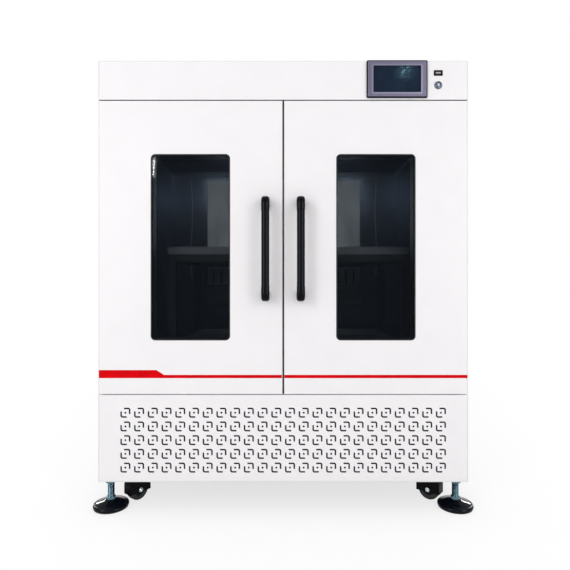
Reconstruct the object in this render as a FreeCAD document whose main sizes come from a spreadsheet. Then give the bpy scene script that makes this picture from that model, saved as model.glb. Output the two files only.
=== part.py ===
import FreeCAD, Part
import math
import os
import re
import Sketcher
from FreeCAD import Placement, Rotation, Vector

# An upright shaking incubator: a cabinet with two glazed doors, in which an orbital drive
# swings two trays. Millimetres, +Z up, the front towards -Y, +X to the viewer's right.
# The origin is on the floor, in the middle of the space that the whole object takes up.

SIZES = {
    # Clearances
    "clearance": 0.3,
    "running_gap": 0.1,
    "overrun": 6,
    # Cabinet
    "cabinet_width": 1200,
    "cabinet_depth": 800,
    "floor_clearance": 94,
    "base_height": 282,
    "door_height": 958,
    "header_height": 128,
    "outer_sheet": 1.5,
    "edge_bend": 6,
    "wall_thickness": 60,
    "liner_sheet": 1.2,
    "liner_corner": 12,
    "rear_inset": 12,
    # Rear panel and its vent slots
    "rear_slot_length": 84,
    "rear_slot_height": 6,
    "rear_slot_pitch": 16,
    "rear_slot_spacing": 112,
    "rear_slot_rows_count": 7,
    "rear_slot_columns_count": 5,
    "rear_slot_inset": 340,
    "rear_slot_rise": 84,
    # Mains inlet on the rear panel
    "inlet_inset": 150,
    "inlet_rise": 136,
    "inlet_width": 50,
    "inlet_height": 28,
    "inlet_flange": 6,
    "inlet_flange_thickness": 2,
    "inlet_body_depth": 30,
    "inlet_mouth_width": 26,
    "inlet_mouth_height": 18,
    "inlet_mouth_depth": 17,
    "inlet_pin_width": 2,
    "inlet_pin_height": 4,
    "inlet_pin_length": 13,
    "inlet_pin_spacing": 7,
    # Front frame that the doors seal on
    "frame_sheet": 2,
    "frame_lap": 30,
    # Base frame, welded from channel and angle
    "rail_width": 50,
    "rail_wall": 3,
    "rail_setback": 2,
    "post_wall": 4,
    "deck_drop": 16,
    "deck_thickness": 6,
    "bar_width": 40,
    "bar_thickness": 6,
    "strip_thickness": 6,
    # Vent motifs in the base panel
    "motif_pitch": 44.5,
    "motif_size": 32.6,
    "motif_rise": 135.7,
    "motif_columns_count": 24,
    "motif_rows_count": 5,
    "motif_slot": 5,
    "motif_arm": 21,
    "motif_bend": 7,
    "motif_hole_radius": 3.2,
    # Screen in the header
    "screen_inset": 231.3,
    "screen_rise": 65.4,
    "screen_width": 196,
    "screen_height": 120,
    "screen_corner": 4,
    "screen_proud": 6,
    "screen_body_margin": 9,
    "screen_body_depth": 32,
    "display_width": 154,
    "display_height": 86,
    "display_depth": 2,
    # Socket for a data stick, and the power button, in the header
    "socket_inset": 97,
    "socket_rise": 86.6,
    "socket_width": 29,
    "socket_height": 18,
    "socket_proud": 1.5,
    "socket_flange": 2.5,
    "socket_body_depth": 24,
    "socket_slot_width": 13.4,
    "socket_slot_height": 6.6,
    "socket_slot_depth": 14,
    "socket_tongue_width": 11,
    "socket_tongue_height": 1.8,
    "button_rise": 47,
    "ring_radius": 13,
    "ring_body_radius": 11,
    "ring_bore": 9.5,
    "ring_proud": 2,
    "ring_body_depth": 22,
    "button_radius": 9.2,
    "button_proud": 1,
    "button_length": 14,
    "button_travel": 2,
    # Doors
    "door_thickness": 62,
    "door_seam": 3.5,
    "door_corner": 2,
    "gasket_space": 12,
    "gasket_rest_gap": 0.5,
    "gasket_width": 22,
    "gasket_hinge_inset": 32,
    "gasket_middle_inset": 3,
    "gasket_end_inset": 20,
    # Door windows
    "window_width": 258,
    "window_height": 605,
    "window_rise": 177,
    "window_corner": 15,
    "window_border": 4,
    "pane_recess": 3,
    "pane_thickness": 5,
    "pane_bite": 3,
    "seal_flange": 10,
    # Door hinges
    "pivot_inset": 20,
    "hinge_pin_radius": 6,
    "hinge_pin_reach": 20,
    "hinge_pin_play": 1,
    "hinge_plate": 5,
    "hinge_half_width": 18,
    "hinge_flange": 4,
    "hinge_rim": 9,
    "boss_half_width": 14,
    # Door handles
    "handle_reach": 62,
    "handle_radius": 12.7,
    "handle_end_radius": 13.2,
    "handle_spacing": 300,
    "handle_sleeve": 48,
    "handle_bend": 26,
    "handle_inner_bend": 6,
    "handle_leg_height": 33,
    "handle_leg_round": 5,
    "handle_nose_round": 12,
    "handle_inset": 56,
    "handle_rise": 472,
    # Levelling feet
    "foot_inset": 31,
    "pad_radius": 57,
    "pad_rim": 8,
    "pad_rim_round": 3,
    "pad_neck_radius": 17,
    "pad_neck_height": 30,
    "pad_collar_radius": 14,
    "pad_collar_height": 37,
    "stud_radius": 11,
    "stud_seat": 12,
    "stud_top": 122,
    "nut_flats": 32,
    "nut_height": 12,
    # Transport casters
    "caster_inset": 114,
    "caster_setback": 95,
    "caster_plate_width": 75,
    "caster_plate_length": 90,
    "caster_plate_thickness": 3,
    "caster_trail": 18,
    "caster_yaw_left": 142,
    "caster_yaw_right": -128,
    "wheel_radius": 35,
    "wheel_width": 26,
    "wheel_lift": 4,
    "wheel_round": 4,
    "wheel_hub_radius": 20,
    "wheel_hub_dish": 3,
    "axle_radius": 5,
    "crown_radius": 24,
    "crown_height": 11,
    "swivel_gap": 0.5,
    "kingpin_radius": 6,
    "hood_gap": 2,
    "hood_wall": 3,
    "hood_drop": 8,
    "hood_round": 20,
    "brake_pin_radius": 1.8,
    "brake_barrel_radius": 4.5,
    "brake_width": 16,
    "brake_length": 24,
    "brake_thickness": 3,
    "brake_ear": 3,
    # Air duct, fans and heater on the back wall of the chamber
    "duct_half_width": 370,
    "duct_depth": 80,
    "duct_top_rise": 792,
    "duct_lip_rise": 273,
    "duct_foot_rise": 204,
    "duct_slot_width": 8,
    "duct_slot_height": 60,
    "duct_slot_pitch": 36,
    "duct_slot_count": 19,
    "duct_slot_rise": 30,
    "fan_offset": 170,
    "fan_rise": 654,
    "fan_opening": 58,
    "fan_motor_radius": 34,
    "fan_motor_length": 36,
    "fan_shaft_radius": 5,
    "fan_gap": 2,
    "fan_radius": 64,
    "fan_disc": 2,
    "fan_hub_radius": 14,
    "fan_hub_length": 20,
    "fan_blade_start": 30,
    "fan_blade_height": 16,
    "fan_blade_thickness": 2,
    "fan_blade_count": 9,
    "heater_rise": 365,
    "heater_pitch": 40,
    "heater_half_length": 250,
    "heater_tube_radius": 5,
    "heater_bracket_offset": 180,
    "heater_bracket_thickness": 3,
    "heater_bracket_margin": 12,
    # Orbital drive
    "orbit_radius": 25,
    "crank_spread": 130,
    "idler_offset": 330,
    "shaft_radius": 20,
    "housing_radius": 34,
    "housing_flange_radius": 60,
    "housing_flange_thickness": 10,
    "housing_rise": 4,
    "arm_radius": 55,
    "arm_thickness": 12,
    "pin_radius": 15,
    "pin_length": 22,
    "collar_radius": 30,
    "collar_height": 12,
    "weight_radius": 95,
    "weight_height": 30,
    "weight_drop": 60,
    "weight_angle": 140,
    # Motor, pulleys and belt under the deck
    "motor_offset": 230,
    "motor_radius": 58,
    "motor_length": 112,
    "motor_flange": 140,
    "motor_flange_thickness": 8,
    "motor_shaft_radius": 10,
    "pulley_drop": 135,
    "pulley_height": 25,
    "crank_pulley_radius": 90,
    "motor_pulley_radius": 35,
    "belt_thickness": 4,
    "belt_height": 18,
    "shaft_tail": 6,
    # Shaken platform and trays
    "cup_radius": 30,
    "cup_gap": 3,
    "cup_height": 26,
    "beam_width": 30,
    "beam_height": 30,
    "cross_beam_width": 64,
    "post_width": 30,
    "shelf_rise": 332,
    "shelf_rail_height": 25,
    "tray_depth": 500,
    "tray_lip": 26,
    "tray_sheet": 2,
    "tray_corner": 6,
    "tray_hole_radius": 4,
    "tray_hole_pitch": 60,
    "tray_rows_count": 7,
    "lower_tray_width": 794,
    "lower_columns_count": 12,
    "upper_tray_width": 864,
    "upper_columns_count": 13,
    # Cooling compressor
    "compressor_offset": 330,
    "compressor_back_inset": 264,
    "compressor_radius": 80,
    "compressor_height": 170,
    "compressor_dome": 38,
    "compressor_foot": 200,
    "compressor_foot_thickness": 4,
    "compressor_band": 5,
    "compressor_band_height": 8,
}

PLACES = {
    # Cabinet planes
    "half_width": "cabinet_width / 2",
    "pad_overhang": "pad_radius - foot_inset",
    "front": "(handle_reach - cabinet_depth - pad_overhang) / 2",
    "back": "front + cabinet_depth",
    "base_top": "floor_clearance + base_height",
    "header_bottom": "base_top + door_height",
    "roof": "header_bottom + header_height",
    "door_back": "front + door_thickness",
    "frame_front": "door_back + gasket_space",
    "frame_back": "frame_front + frame_sheet",
    "shell_front": "frame_back + clearance",
    "inner_half_width": "half_width - outer_sheet - clearance",
    "rear_face": "back - rear_inset",
    "inner_back": "rear_face - outer_sheet - clearance",
    # Chamber
    "chamber_half_width": "half_width - wall_thickness",
    "chamber_bottom": "base_top + wall_thickness",
    "chamber_top": "header_bottom - wall_thickness",
    "chamber_back": "back - wall_thickness",
    # Base frame
    "rail_top": "floor_clearance + rail_width",
    "rail_front": "front + rail_setback",
    "rail_back": "back - rail_setback",
    "deck_bottom": "base_top - deck_drop",
    "deck_top": "deck_bottom + deck_thickness",
    "ring_bottom": "deck_bottom - rail_width",
    "bar_top": "rail_top + bar_thickness",
    # Doors
    "door_inner": "door_seam / 2",
    "door_bottom": "base_top + door_seam",
    "door_top": "header_bottom - door_seam",
    "door_middle": "(door_inner + half_width) / 2",
    "window_left": "door_middle - window_width / 2",
    "window_right": "door_middle + window_width / 2",
    "window_bottom": "base_top + window_rise",
    "window_top": "window_bottom + window_height",
    "pivot_x": "half_width - pivot_inset",
    "pivot_y": "front + pivot_inset",
    "handle_middle": "base_top + handle_rise",
    "handle_axis": "front - handle_reach + handle_end_radius",
    # Header controls
    "screen_x": "half_width - screen_inset",
    "screen_z": "header_bottom + screen_rise",
    "socket_x": "half_width - socket_inset",
    "socket_z": "header_bottom + socket_rise",
    "button_z": "header_bottom + button_rise",
    # Inlet
    "inlet_x": "inlet_inset - half_width",
    "inlet_z": "floor_clearance + inlet_rise",
    # Feet and casters
    "foot_x": "half_width - foot_inset",
    "foot_front": "front + foot_inset",
    "foot_back": "back - foot_inset",
    "caster_x": "half_width - caster_inset",
    "caster_front": "front + caster_setback",
    "caster_back": "back - caster_setback",
    "axle_height": "wheel_lift + wheel_radius",
    "plate_bottom": "floor_clearance - caster_plate_thickness",
    "crown_bottom": "plate_bottom - swivel_gap - crown_height",
    "hood_radius": "wheel_radius + hood_gap",
    "hood_half_width": "wheel_width / 2 + hood_gap",
    "hood_front": "caster_trail - hood_radius - hood_wall",
    "hood_back": "caster_trail + hood_radius + hood_wall",
    "brake_y": "hood_front - brake_barrel_radius - clearance",
    "brake_z": "crown_bottom - brake_barrel_radius * 2",
    # Duct, fans and heater
    "duct_front": "chamber_back - duct_depth",
    "duct_top": "chamber_bottom + duct_top_rise",
    "duct_lip": "chamber_bottom + duct_lip_rise",
    "duct_foot": "chamber_bottom + duct_foot_rise",
    "fan_z": "chamber_bottom + fan_rise",
    "fan_back": "chamber_back - fan_motor_length - fan_gap",
    "heater_y": "chamber_back - duct_depth / 2",
    "heater_z": "chamber_bottom + heater_rise",
    # Drive
    "load_y": "(frame_back + duct_front) / 2",
    "crank_y": "load_y + crank_spread",
    "idler_y": "load_y - crank_spread",
    "housing_top": "chamber_bottom + housing_rise",
    "arm_bottom": "housing_top + clearance",
    "arm_top": "arm_bottom + arm_thickness",
    "pin_top": "arm_top + pin_length",
    "beam_bottom": "arm_top + cup_height",
    "beam_top": "beam_bottom + beam_height",
    "shelf_top": "beam_top + shelf_rise",
    "shelf_bottom": "shelf_top - shelf_rail_height",
    "pulley_top": "deck_bottom - pulley_drop",
    "pulley_bottom": "pulley_top - pulley_height",
    "belt_bottom": "pulley_bottom + (pulley_height - belt_height) / 2",
    "motor_x": "-motor_offset",
    # Platform, centred on the crank pins
    "post_x": "(lower_tray_width + post_width) / 2 + cup_gap",
    "beam_y": "(tray_depth - beam_width) / 2",
    # Compressor
    "compressor_y": "back - compressor_back_inset",
    "compressor_bottom": "bar_top + compressor_foot_thickness",
}

FULL_TURN = 360
QUARTER_TURN = FULL_TURN / 4
PLANES = {"x": "YZ_Plane", "y": "XZ_Plane", "z": "XY_Plane"}
# The end rounding of a slot, as a share of its width
SLOT_ROUND_SHARE = 0.45

doc = FreeCAD.newDocument("shaking_incubator")
sheet = doc.addObject("Spreadsheet::Sheet", "size")
for row, (alias, number) in enumerate(SIZES.items(), start=1):
    sheet.set(f"A{row}", alias)
    sheet.set(f"B{row}", str(number))
    sheet.setAlias(f"B{row}", alias)
place_set = doc.addObject("App::VarSet", "place")
probe = doc.addObject("App::VarSet", "probe")
probe.addProperty("App::PropertyFloat", "amount")
holders = {alias: "size." + alias for alias in SIZES}
parts = {}


def spelled(text):
    """Write each named value in an expression with the object that holds it."""
    return re.sub(r"[a-z]\w*", lambda word: holders.get(word[0], word[0]), text)


def amount(text):
    """The number that an expression comes to with the present sizes."""
    probe.setExpression("amount", spelled(text))
    probe.recompute()
    return probe.amount


def bind(item, properties):
    """Bind properties of an object to expressions."""
    for prop, text in properties.items():
        item.setExpression(prop, spelled(text))


def node(label, item):
    """Name an object as one of the parts that are written out."""
    item.Label = label
    parts[label] = item
    return item


# Primitives and booleans

def block(x, y, z):
    """A box from three spans."""
    item = doc.addObject("Part::Box", "block")
    for side, axis, span in (("Length", "x", x), ("Width", "y", y), ("Height", "z", z)):
        bind(item, {side: f"{span[1]} - ({span[0]})", f"Placement.Base.{axis}": span[0]})
    return item


def rod(axis, radius, span, at):
    """A cylinder along an axis; at gives its two other coordinates in x, y, z order."""
    item = doc.addObject("Part::Cylinder", "rod")
    turns = {"x": Rotation(Vector(0, 1, 0), QUARTER_TURN),
             "y": Rotation(Vector(1, 0, 0), -QUARTER_TURN)}
    item.Placement = Placement(Vector(), turns.get(axis, Rotation()))
    rest = iter(at)
    for name in "xyz":
        bind(item, {f"Placement.Base.{name}": span[0] if name == axis else next(rest)})
    bind(item, {"Radius": radius, "Height": f"{span[1]} - ({span[0]})"})
    return item


def fuse(*items):
    item = doc.addObject("Part::MultiFuse", "fused")
    item.Shapes = list(items)
    item.Refine = True
    return item


def common(*items):
    item = doc.addObject("Part::MultiCommon", "common")
    item.Shapes = list(items)
    return item


def cut(base, *tools):
    item = doc.addObject("Part::Cut", "cut")
    item.Base = base
    item.Tool = tools[0] if len(tools) == 1 else fuse(*tools)
    return item


def group(*items):
    """Separate solids that share a node."""
    item = doc.addObject("Part::Compound", "group")
    item.Links = list(items)
    return item


def mirrored(source):
    """The same piece on the other side of the cabinet's middle plane."""
    item = doc.addObject("Part::Mirroring", "mirrored")
    item.Source = source
    item.Normal = Vector(1, 0, 0)
    return item


def tube(axis, outer, inner, span, at):
    """A cylinder with a bore all the way through."""
    through = (f"{span[0]} - overrun", f"{span[1]} + overrun")
    return cut(rod(axis, outer, span, at), rod(axis, inner, through, at))


# Sketched features

def drive(sketch, kind, spot, text):
    """Give a dimension of a sketch an expression."""
    index = sketch.addConstraint(Sketcher.Constraint(kind, *spot, amount(text)))
    sketch.setExpression(f"Constraints[{index}]", spelled(text))


def pin_point(sketch, geometry, end, x, y):
    """Hold a point of a sketch at x, y, or on an axis where one of them is zero."""
    for kind, text, axis in (("DistanceX", x, -2), ("DistanceY", y, -1)):
        if text == "0":
            sketch.addConstraint(Sketcher.Constraint("PointOnObject", geometry, end, axis))
        else:
            drive(sketch, kind, (-1, 1, geometry, end), text)


def circle(sketch, x, y, radius):
    centre = Vector(amount(x), amount(y), 0)
    index = sketch.addGeometry(Part.Circle(centre, Vector(0, 0, 1), amount(radius)), False)
    pin_point(sketch, index, 3, x, y)
    drive(sketch, "Radius", (index,), radius)


def outline(sketch, corners):
    """A closed outline of (x, y) corners, or (x, y, radius) where a corner is rounded."""
    points = [Vector(amount(corner[0]), amount(corner[1]), 0) for corner in corners]
    radii = [amount(corner[2]) if len(corner) > 2 else 0 for corner in corners]
    count = len(points)
    starts, ends = [], []
    for here, point in enumerate(points):
        to_last = (points[here - 1] - point).normalize()
        to_next = (points[(here + 1) % count] - point).normalize()
        setback = radii[here] / math.tan(to_last.getAngle(to_next) / 2)
        ends.append(point + to_last * setback)
        starts.append(point + to_next * setback)
    lines = [sketch.addGeometry(Part.LineSegment(starts[here], ends[(here + 1) % count]), False)
             for here in range(count)]
    for here, corner in enumerate(corners):
        last, following = lines[here - 1], lines[here]
        if not radii[here]:
            sketch.addConstraint(Sketcher.Constraint("Coincident", last, 2, following, 1))
            pin_point(sketch, following, 1, corner[0], corner[1])
            continue
        chord_middle = (starts[here] + ends[here]) / 2
        inward = (chord_middle - points[here]).normalize()
        half_angle = (points[here - 1] - points[here]).getAngle(inward)
        bulge = points[here] + inward * (radii[here] / math.sin(half_angle) - radii[here])
        tips, near = [ends[here], starts[here]], 1
        if (bulge - tips[0]).cross(tips[1] - bulge).z < 0:
            tips, near = tips[::-1], 2
        arc = sketch.addGeometry(Part.Arc(tips[0], bulge, tips[1]), False)
        sketch.addConstraint(Sketcher.Constraint("Tangent", last, 2, arc, near))
        sketch.addConstraint(Sketcher.Constraint("Tangent", following, 1, arc, 3 - near))
        tip = sketch.addGeometry(Part.Point(points[here]), True)
        sketch.addConstraint(Sketcher.Constraint("PointOnObject", tip, 1, last))
        sketch.addConstraint(Sketcher.Constraint("PointOnObject", tip, 1, following))
        pin_point(sketch, tip, 1, corner[0], corner[1])
        drive(sketch, "Radius", (arc,), corner[2])


def rectangle(x, y, *radius):
    """The corners of a rectangle from two spans, all rounded alike or not at all."""
    return [(x[0], y[0], *radius), (x[1], y[0], *radius),
            (x[1], y[1], *radius), (x[0], y[1], *radius)]


def grown(span, extra):
    """A span made longer at both ends."""
    return f"{span[0]} - ({extra})", f"{span[1]} + {extra}"


def centred(middle, length):
    """A span of a given length about its middle."""
    return f"{middle} - ({length}) / 2", f"{middle} + ({length}) / 2"


def drawn(body, axis, start, shapes):
    """A sketch square to an axis; a shape is a circle's (x, y, radius) or an outline's list."""
    sketch = body.newObject("Sketcher::SketchObject", "sketch")
    origin = body.Origin.OriginFeatures
    sketch.AttachmentSupport = [(next(item for item in origin if item.Role == PLANES[axis]), "")]
    sketch.MapMode = "FlatFace"
    bind(sketch, {"AttachmentOffset.Base.z": start})
    for shape in shapes:
        if isinstance(shape, tuple):
            circle(sketch, *shape)
        else:
            outline(sketch, shape)
    return sketch


def extruded(kind, body, axis, span, shapes):
    """A pad or pocket over a span; the plane square to Y faces -Y, so it starts at the far end."""
    start = f"-({span[1]})" if axis == "y" else span[0]
    sketch = drawn(body, axis, start, shapes)
    feature = body.newObject("PartDesign::" + kind, kind.lower())
    feature.Profile = sketch
    bind(feature, {"Length": f"{span[1]} - ({span[0]})"})
    return feature


def new_body(name):
    return doc.addObject("PartDesign::Body", name)


def pad(body, axis, span, *shapes):
    return extruded("Pad", body, axis, span, shapes)


def pocket(body, axis, span, *shapes):
    feature = extruded("Pocket", body, axis, span, shapes)
    feature.Reversed = True
    return feature


def grid(body, feature, pitches, counts):
    """Repeat a feature along both axes of its sketch."""
    pattern = body.newObject("PartDesign::LinearPattern", "pattern")
    pattern.Originals = [feature]
    pattern.Direction = (feature.Profile[0], ["H_Axis"])
    pattern.Direction2 = (feature.Profile[0], ["V_Axis"])
    pattern.Mode = "Spacing"
    pattern.Mode2 = "Spacing"
    # A step of -1 in this list stands for the pitch
    pattern.Spacings2 = [-1]
    bind(pattern, {"Offset": pitches[0], "Offset2": pitches[1],
                   "Occurrences": counts[0], "Occurrences2": counts[1]})
    body.Tip = pattern


def turned(name, corners):
    """A body of revolution about its own Z axis, from an outline of (radius, z) corners."""
    body = new_body(name)
    sketch = drawn(body, "y", "0", [corners])
    feature = body.newObject("PartDesign::Revolution", "revolution")
    feature.Profile = sketch
    feature.ReferenceAxis = (sketch, ["V_Axis"])
    feature.Angle = FULL_TURN
    return body


def stand(item, x, y, yaw=None):
    """Set an object that was made about its own upright axis where it belongs."""
    if yaw:
        item.Placement = Placement(Vector(), Rotation(Vector(0, 0, 1), amount(yaw)))
        bind(item, {"Placement.Rotation.Angle": yaw})
    bind(item, {"Placement.Base.x": x, "Placement.Base.y": y})
    return item


for alias, text in PLACES.items():
    place_set.addProperty("App::PropertyFloat", alias)
    place_set.setExpression(alias, spelled(text))
    holders[alias] = "place." + alias
doc.recompute()


# Cabinet shell

def make_base_frame():
    """The welded frame: lower channel ring, corner posts, upper ring, bars and caster strips."""
    across = ("-inner_half_width", "inner_half_width")
    lower_y = ("rail_front", "rail_back")
    upper_y = ("shell_front", "inner_back")

    def channel_ring(y, z):
        outer = block(across, y, z)
        opening = block(grown(across, "-rail_width"), grown(y, "-rail_width"), grown(z, "overrun"))
        hollow = block(grown(across, "-rail_wall"), grown(y, "-rail_wall"), grown(z, "-rail_wall"))
        return cut(outer, opening, hollow)

    def post(side, y, inward):
        """An angle with its two legs on the outer faces of the corner."""
        far = f"{side} * inner_half_width"
        near = f"{side} * (inner_half_width - rail_width)"
        inner = f"{side} * (inner_half_width - post_wall)"
        x = (near, far) if side == "1" else (far, near)
        gap_x = (near, inner) if side == "1" else (inner, near)
        gap_y = (f"{y[0]} + post_wall", y[1]) if inward == "back" else (y[0], f"{y[1]} - post_wall")
        z = ("rail_top", "ring_bottom")
        return cut(block(x, y, z), block(gap_x, gap_y, grown(z, "overrun")))

    lower = channel_ring(lower_y, ("floor_clearance", "rail_top"))
    upper = channel_ring(upper_y, ("ring_bottom", "deck_bottom"))
    posts = [post(side, y, inward) for side in ("-1", "1") for y, inward in (
        (("shell_front", "shell_front + rail_width"), "back"),
        (("inner_back - rail_width", "inner_back"), "front"))]
    inner_x = "inner_half_width - rail_width"
    bars = [block((f"-({inner_x}) - rail_wall", f"{inner_x} + rail_wall"),
                  centred(f"compressor_y + {side} * compressor_foot / 4", "bar_width"),
                  ("rail_top", "bar_top")) for side in ("-1", "1")]
    strip_z = ("floor_clearance", "floor_clearance + strip_thickness")
    strip_y = ("rail_front + rail_width", "rail_back - rail_width")
    strip_inner = "caster_x - caster_plate_width / 2"
    strips = [block((strip_inner, inner_x), strip_y, strip_z),
              block((f"-({inner_x})", f"-({strip_inner})"), strip_y, strip_z)]
    holes = [rod("z", "stud_radius + running_gap + clearance",
                 ("floor_clearance - overrun", "floor_clearance + rail_wall + overrun"),
                 (f"{side} * foot_x", y)) for side in ("-1", "1") for y in ("foot_front", "foot_back")]
    return node("base_frame", cut(fuse(lower, upper, *posts, *bars, *strips), *holes))


def make_drive_deck():
    """The thick plate on the upper ring, bored for the three shafts."""
    body = new_body("deck_body")
    x = ("-inner_half_width", "inner_half_width")
    y = ("shell_front", "inner_back")
    pad(body, "z", ("deck_bottom", "deck_top"), rectangle(x, y))
    bore = "shaft_radius + running_gap"
    through = grown(("deck_bottom", "deck_top"), "overrun")
    pocket(body, "z", through, ("0", "crank_y", bore), ("idler_offset", "idler_y", bore),
           ("-idler_offset", "idler_y", bore))
    return node("drive_deck", body)


def make_outer_wrap():
    """Both sides and the roof, bent from one sheet."""
    body = new_body("wrap_body")
    x = ("-half_width", "half_width")
    inner_x = grown(x, "-outer_sheet")
    pad(body, "y", ("shell_front", "back"),
        [(x[0], "floor_clearance"), (x[1], "floor_clearance"),
         (x[1], "roof", "edge_bend"), (x[0], "roof", "edge_bend")])
    inner_bend = "edge_bend - outer_sheet"
    pocket(body, "y", grown(("shell_front", "back"), "overrun"),
           [(inner_x[0], "floor_clearance - overrun"), (inner_x[1], "floor_clearance - overrun"),
            (inner_x[1], "roof - outer_sheet", inner_bend),
            (inner_x[0], "roof - outer_sheet", inner_bend)])
    return node("outer_wrap", body)


def make_rear_panel():
    """The sheet that closes the back, with vent slots and the inlet's hole."""
    body = new_body("rear_body")
    x = ("-inner_half_width", "inner_half_width")
    y = ("rear_face - outer_sheet", "rear_face")
    z = ("rail_top + clearance", "roof - outer_sheet - clearance")
    corner = "edge_bend - outer_sheet"
    pad(body, "y", y, [(x[0], z[0]), (x[1], z[0]), (x[1], z[1], corner), (x[0], z[1], corner)])
    through = grown(y, "overrun")
    pocket(body, "y", through, rectangle(centred("inlet_x", "inlet_width"),
                                         centred("inlet_z", "inlet_height")))
    first_x = "half_width - rear_slot_inset - rear_slot_spacing * (rear_slot_columns_count - 1)"
    first_x = f"{first_x} / 2"
    first_z = "floor_clearance + rear_slot_rise"
    slot = pocket(body, "y", through, rectangle(
        centred(first_x, "rear_slot_length"), centred(first_z, "rear_slot_height"),
        f"rear_slot_height * {SLOT_ROUND_SHARE}"))
    grid(body, slot, ("rear_slot_spacing", "rear_slot_pitch"),
         ("rear_slot_columns_count", "rear_slot_rows_count"))
    return node("rear_panel", body)


def make_power_inlet():
    """The recessed mains socket with its three pins."""
    flange_y = ("rear_face", "rear_face + inlet_flange_thickness")
    flange = block(centred("inlet_x", "inlet_width + inlet_flange * 2"), flange_y,
                   centred("inlet_z", "inlet_height + inlet_flange * 2"))
    case_width = "inlet_width - clearance * 2"
    case_height = "inlet_height - clearance * 2"
    case = block(centred("inlet_x", case_width), ("rear_face - inlet_body_depth", "rear_face"),
                 centred("inlet_z", case_height))
    mouth_back = f"{flange_y[1]} - inlet_mouth_depth"
    mouth = block(centred("inlet_x", "inlet_mouth_width"), (mouth_back, f"{flange_y[1]} + overrun"),
                  centred("inlet_z", "inlet_mouth_height"))
    pins = [block(centred(f"inlet_x + {step} * inlet_pin_spacing", "inlet_pin_width"),
                  (mouth_back, f"{mouth_back} + inlet_pin_length"),
                  centred("inlet_z", "inlet_pin_height")) for step in ("-1", "0", "1")]
    return node("power_inlet", group(cut(fuse(flange, case), mouth), *pins))


def make_front_pan(label, z, bend, open_end):
    """A bent front sheet with returns; the return on the doors' side stops at the front frame."""
    body = new_body(label + "_body")
    y = ("front", "frame_back")
    x = ("-half_width", "half_width")
    inner_x = grown(x, "-outer_sheet")
    inner_y = ("front + outer_sheet", "frame_back + overrun")
    if open_end == "bottom":
        inner_z = (f"{z[0]} - overrun", f"{z[1]} - outer_sheet")
        lip = (f"{z[1]} - outer_sheet - clearance", f"{z[1]} + overrun")
        pad(body, "x", x, rectangle(y, z))
        pocket(body, "x", inner_x, rectangle(inner_y, inner_z))
    else:
        inner_z = (f"{z[0]} + outer_sheet", f"{z[1]} - outer_sheet")
        lip = (f"{z[0]} - overrun", f"{z[0]} + outer_sheet + clearance")
        top = (y[0], z[1], bend)
        inner_top = (inner_y[0], inner_z[1], f"{bend} - outer_sheet")
        pad(body, "x", x, [(y[0], z[0]), (y[1], z[0]), (y[1], z[1]), top])
        pocket(body, "x", inner_x, [(inner_y[0], inner_z[0]), (inner_y[1], inner_z[0]),
                                    (inner_y[1], inner_z[1]), inner_top])
    pocket(body, "x", inner_x, rectangle(("frame_front - clearance", "frame_back + overrun"), lip))
    pin_hole = "hinge_pin_radius + hinge_pin_play"
    pocket(body, "z", lip, ("pivot_x", "pivot_y", pin_hole), ("-pivot_x", "pivot_y", pin_hole))
    return body


def make_header_panel():
    """The front pan above the doors, cut for the screen, the socket and the button."""
    body = make_front_pan("header_panel", ("header_bottom", "roof"), "edge_bend", "back")
    through = ("front - overrun", "front + outer_sheet + overrun")
    screen = rectangle(centred("screen_x", "screen_width - screen_body_margin * 2"),
                       centred("screen_z", "screen_height - screen_body_margin * 2"))
    socket = rectangle(centred("socket_x", "socket_width - socket_flange * 2"),
                       centred("socket_z", "socket_height - socket_flange * 2"))
    pocket(body, "y", through, screen, socket,
           ("socket_x", "button_z", "ring_body_radius + clearance"))
    return node("header_panel", body)


def make_base_grille():
    """The front pan below the doors; its vent motif is two facing angles round a hole."""
    body = make_front_pan("base_grille", ("floor_clearance", "base_top"), "0", "bottom")
    middle_x = "-motif_pitch * (motif_columns_count - 1) / 2"
    middle_z = "floor_clearance + motif_rise - motif_pitch * (motif_rows_count - 1) / 2"

    def angle_slot(side):
        far_x = f"{middle_x} + {side} * motif_size / 2"
        far_z = f"{middle_z} + {side} * motif_size / 2"
        near_x = f"{far_x} - {side} * motif_slot"
        near_z = f"{far_z} - {side} * motif_slot"
        end_x = f"{far_x} - {side} * motif_arm"
        end_z = f"{far_z} - {side} * motif_arm"
        tip = f"motif_slot * {SLOT_ROUND_SHARE}"
        return [(far_x, end_z, tip), (far_x, far_z, "motif_bend"), (end_x, far_z, tip),
                (end_x, near_z, tip), (near_x, near_z, "motif_bend - motif_slot"),
                (near_x, end_z, tip)]

    through = ("front - overrun", "front + outer_sheet + overrun")
    motif = pocket(body, "y", through, angle_slot("1"), angle_slot("-1"),
                   (middle_x, middle_z, "motif_hole_radius"))
    grid(body, motif, ("motif_pitch", "motif_pitch"), ("motif_columns_count", "motif_rows_count"))
    return node("base_grille", body)


def make_front_frame():
    """The flat steel ring that the door gaskets close on."""
    body = new_body("frame_body")
    y = ("frame_front", "frame_back")
    pad(body, "y", y, rectangle(("-inner_half_width", "inner_half_width"),
                                ("base_top - frame_lap", "header_bottom + frame_lap")))
    pocket(body, "y", grown(y, "overrun"),
           rectangle(("-chamber_half_width", "chamber_half_width"),
                     ("chamber_bottom", "chamber_top"), "liner_corner"))
    return node("front_frame", body)


# Chamber

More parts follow.
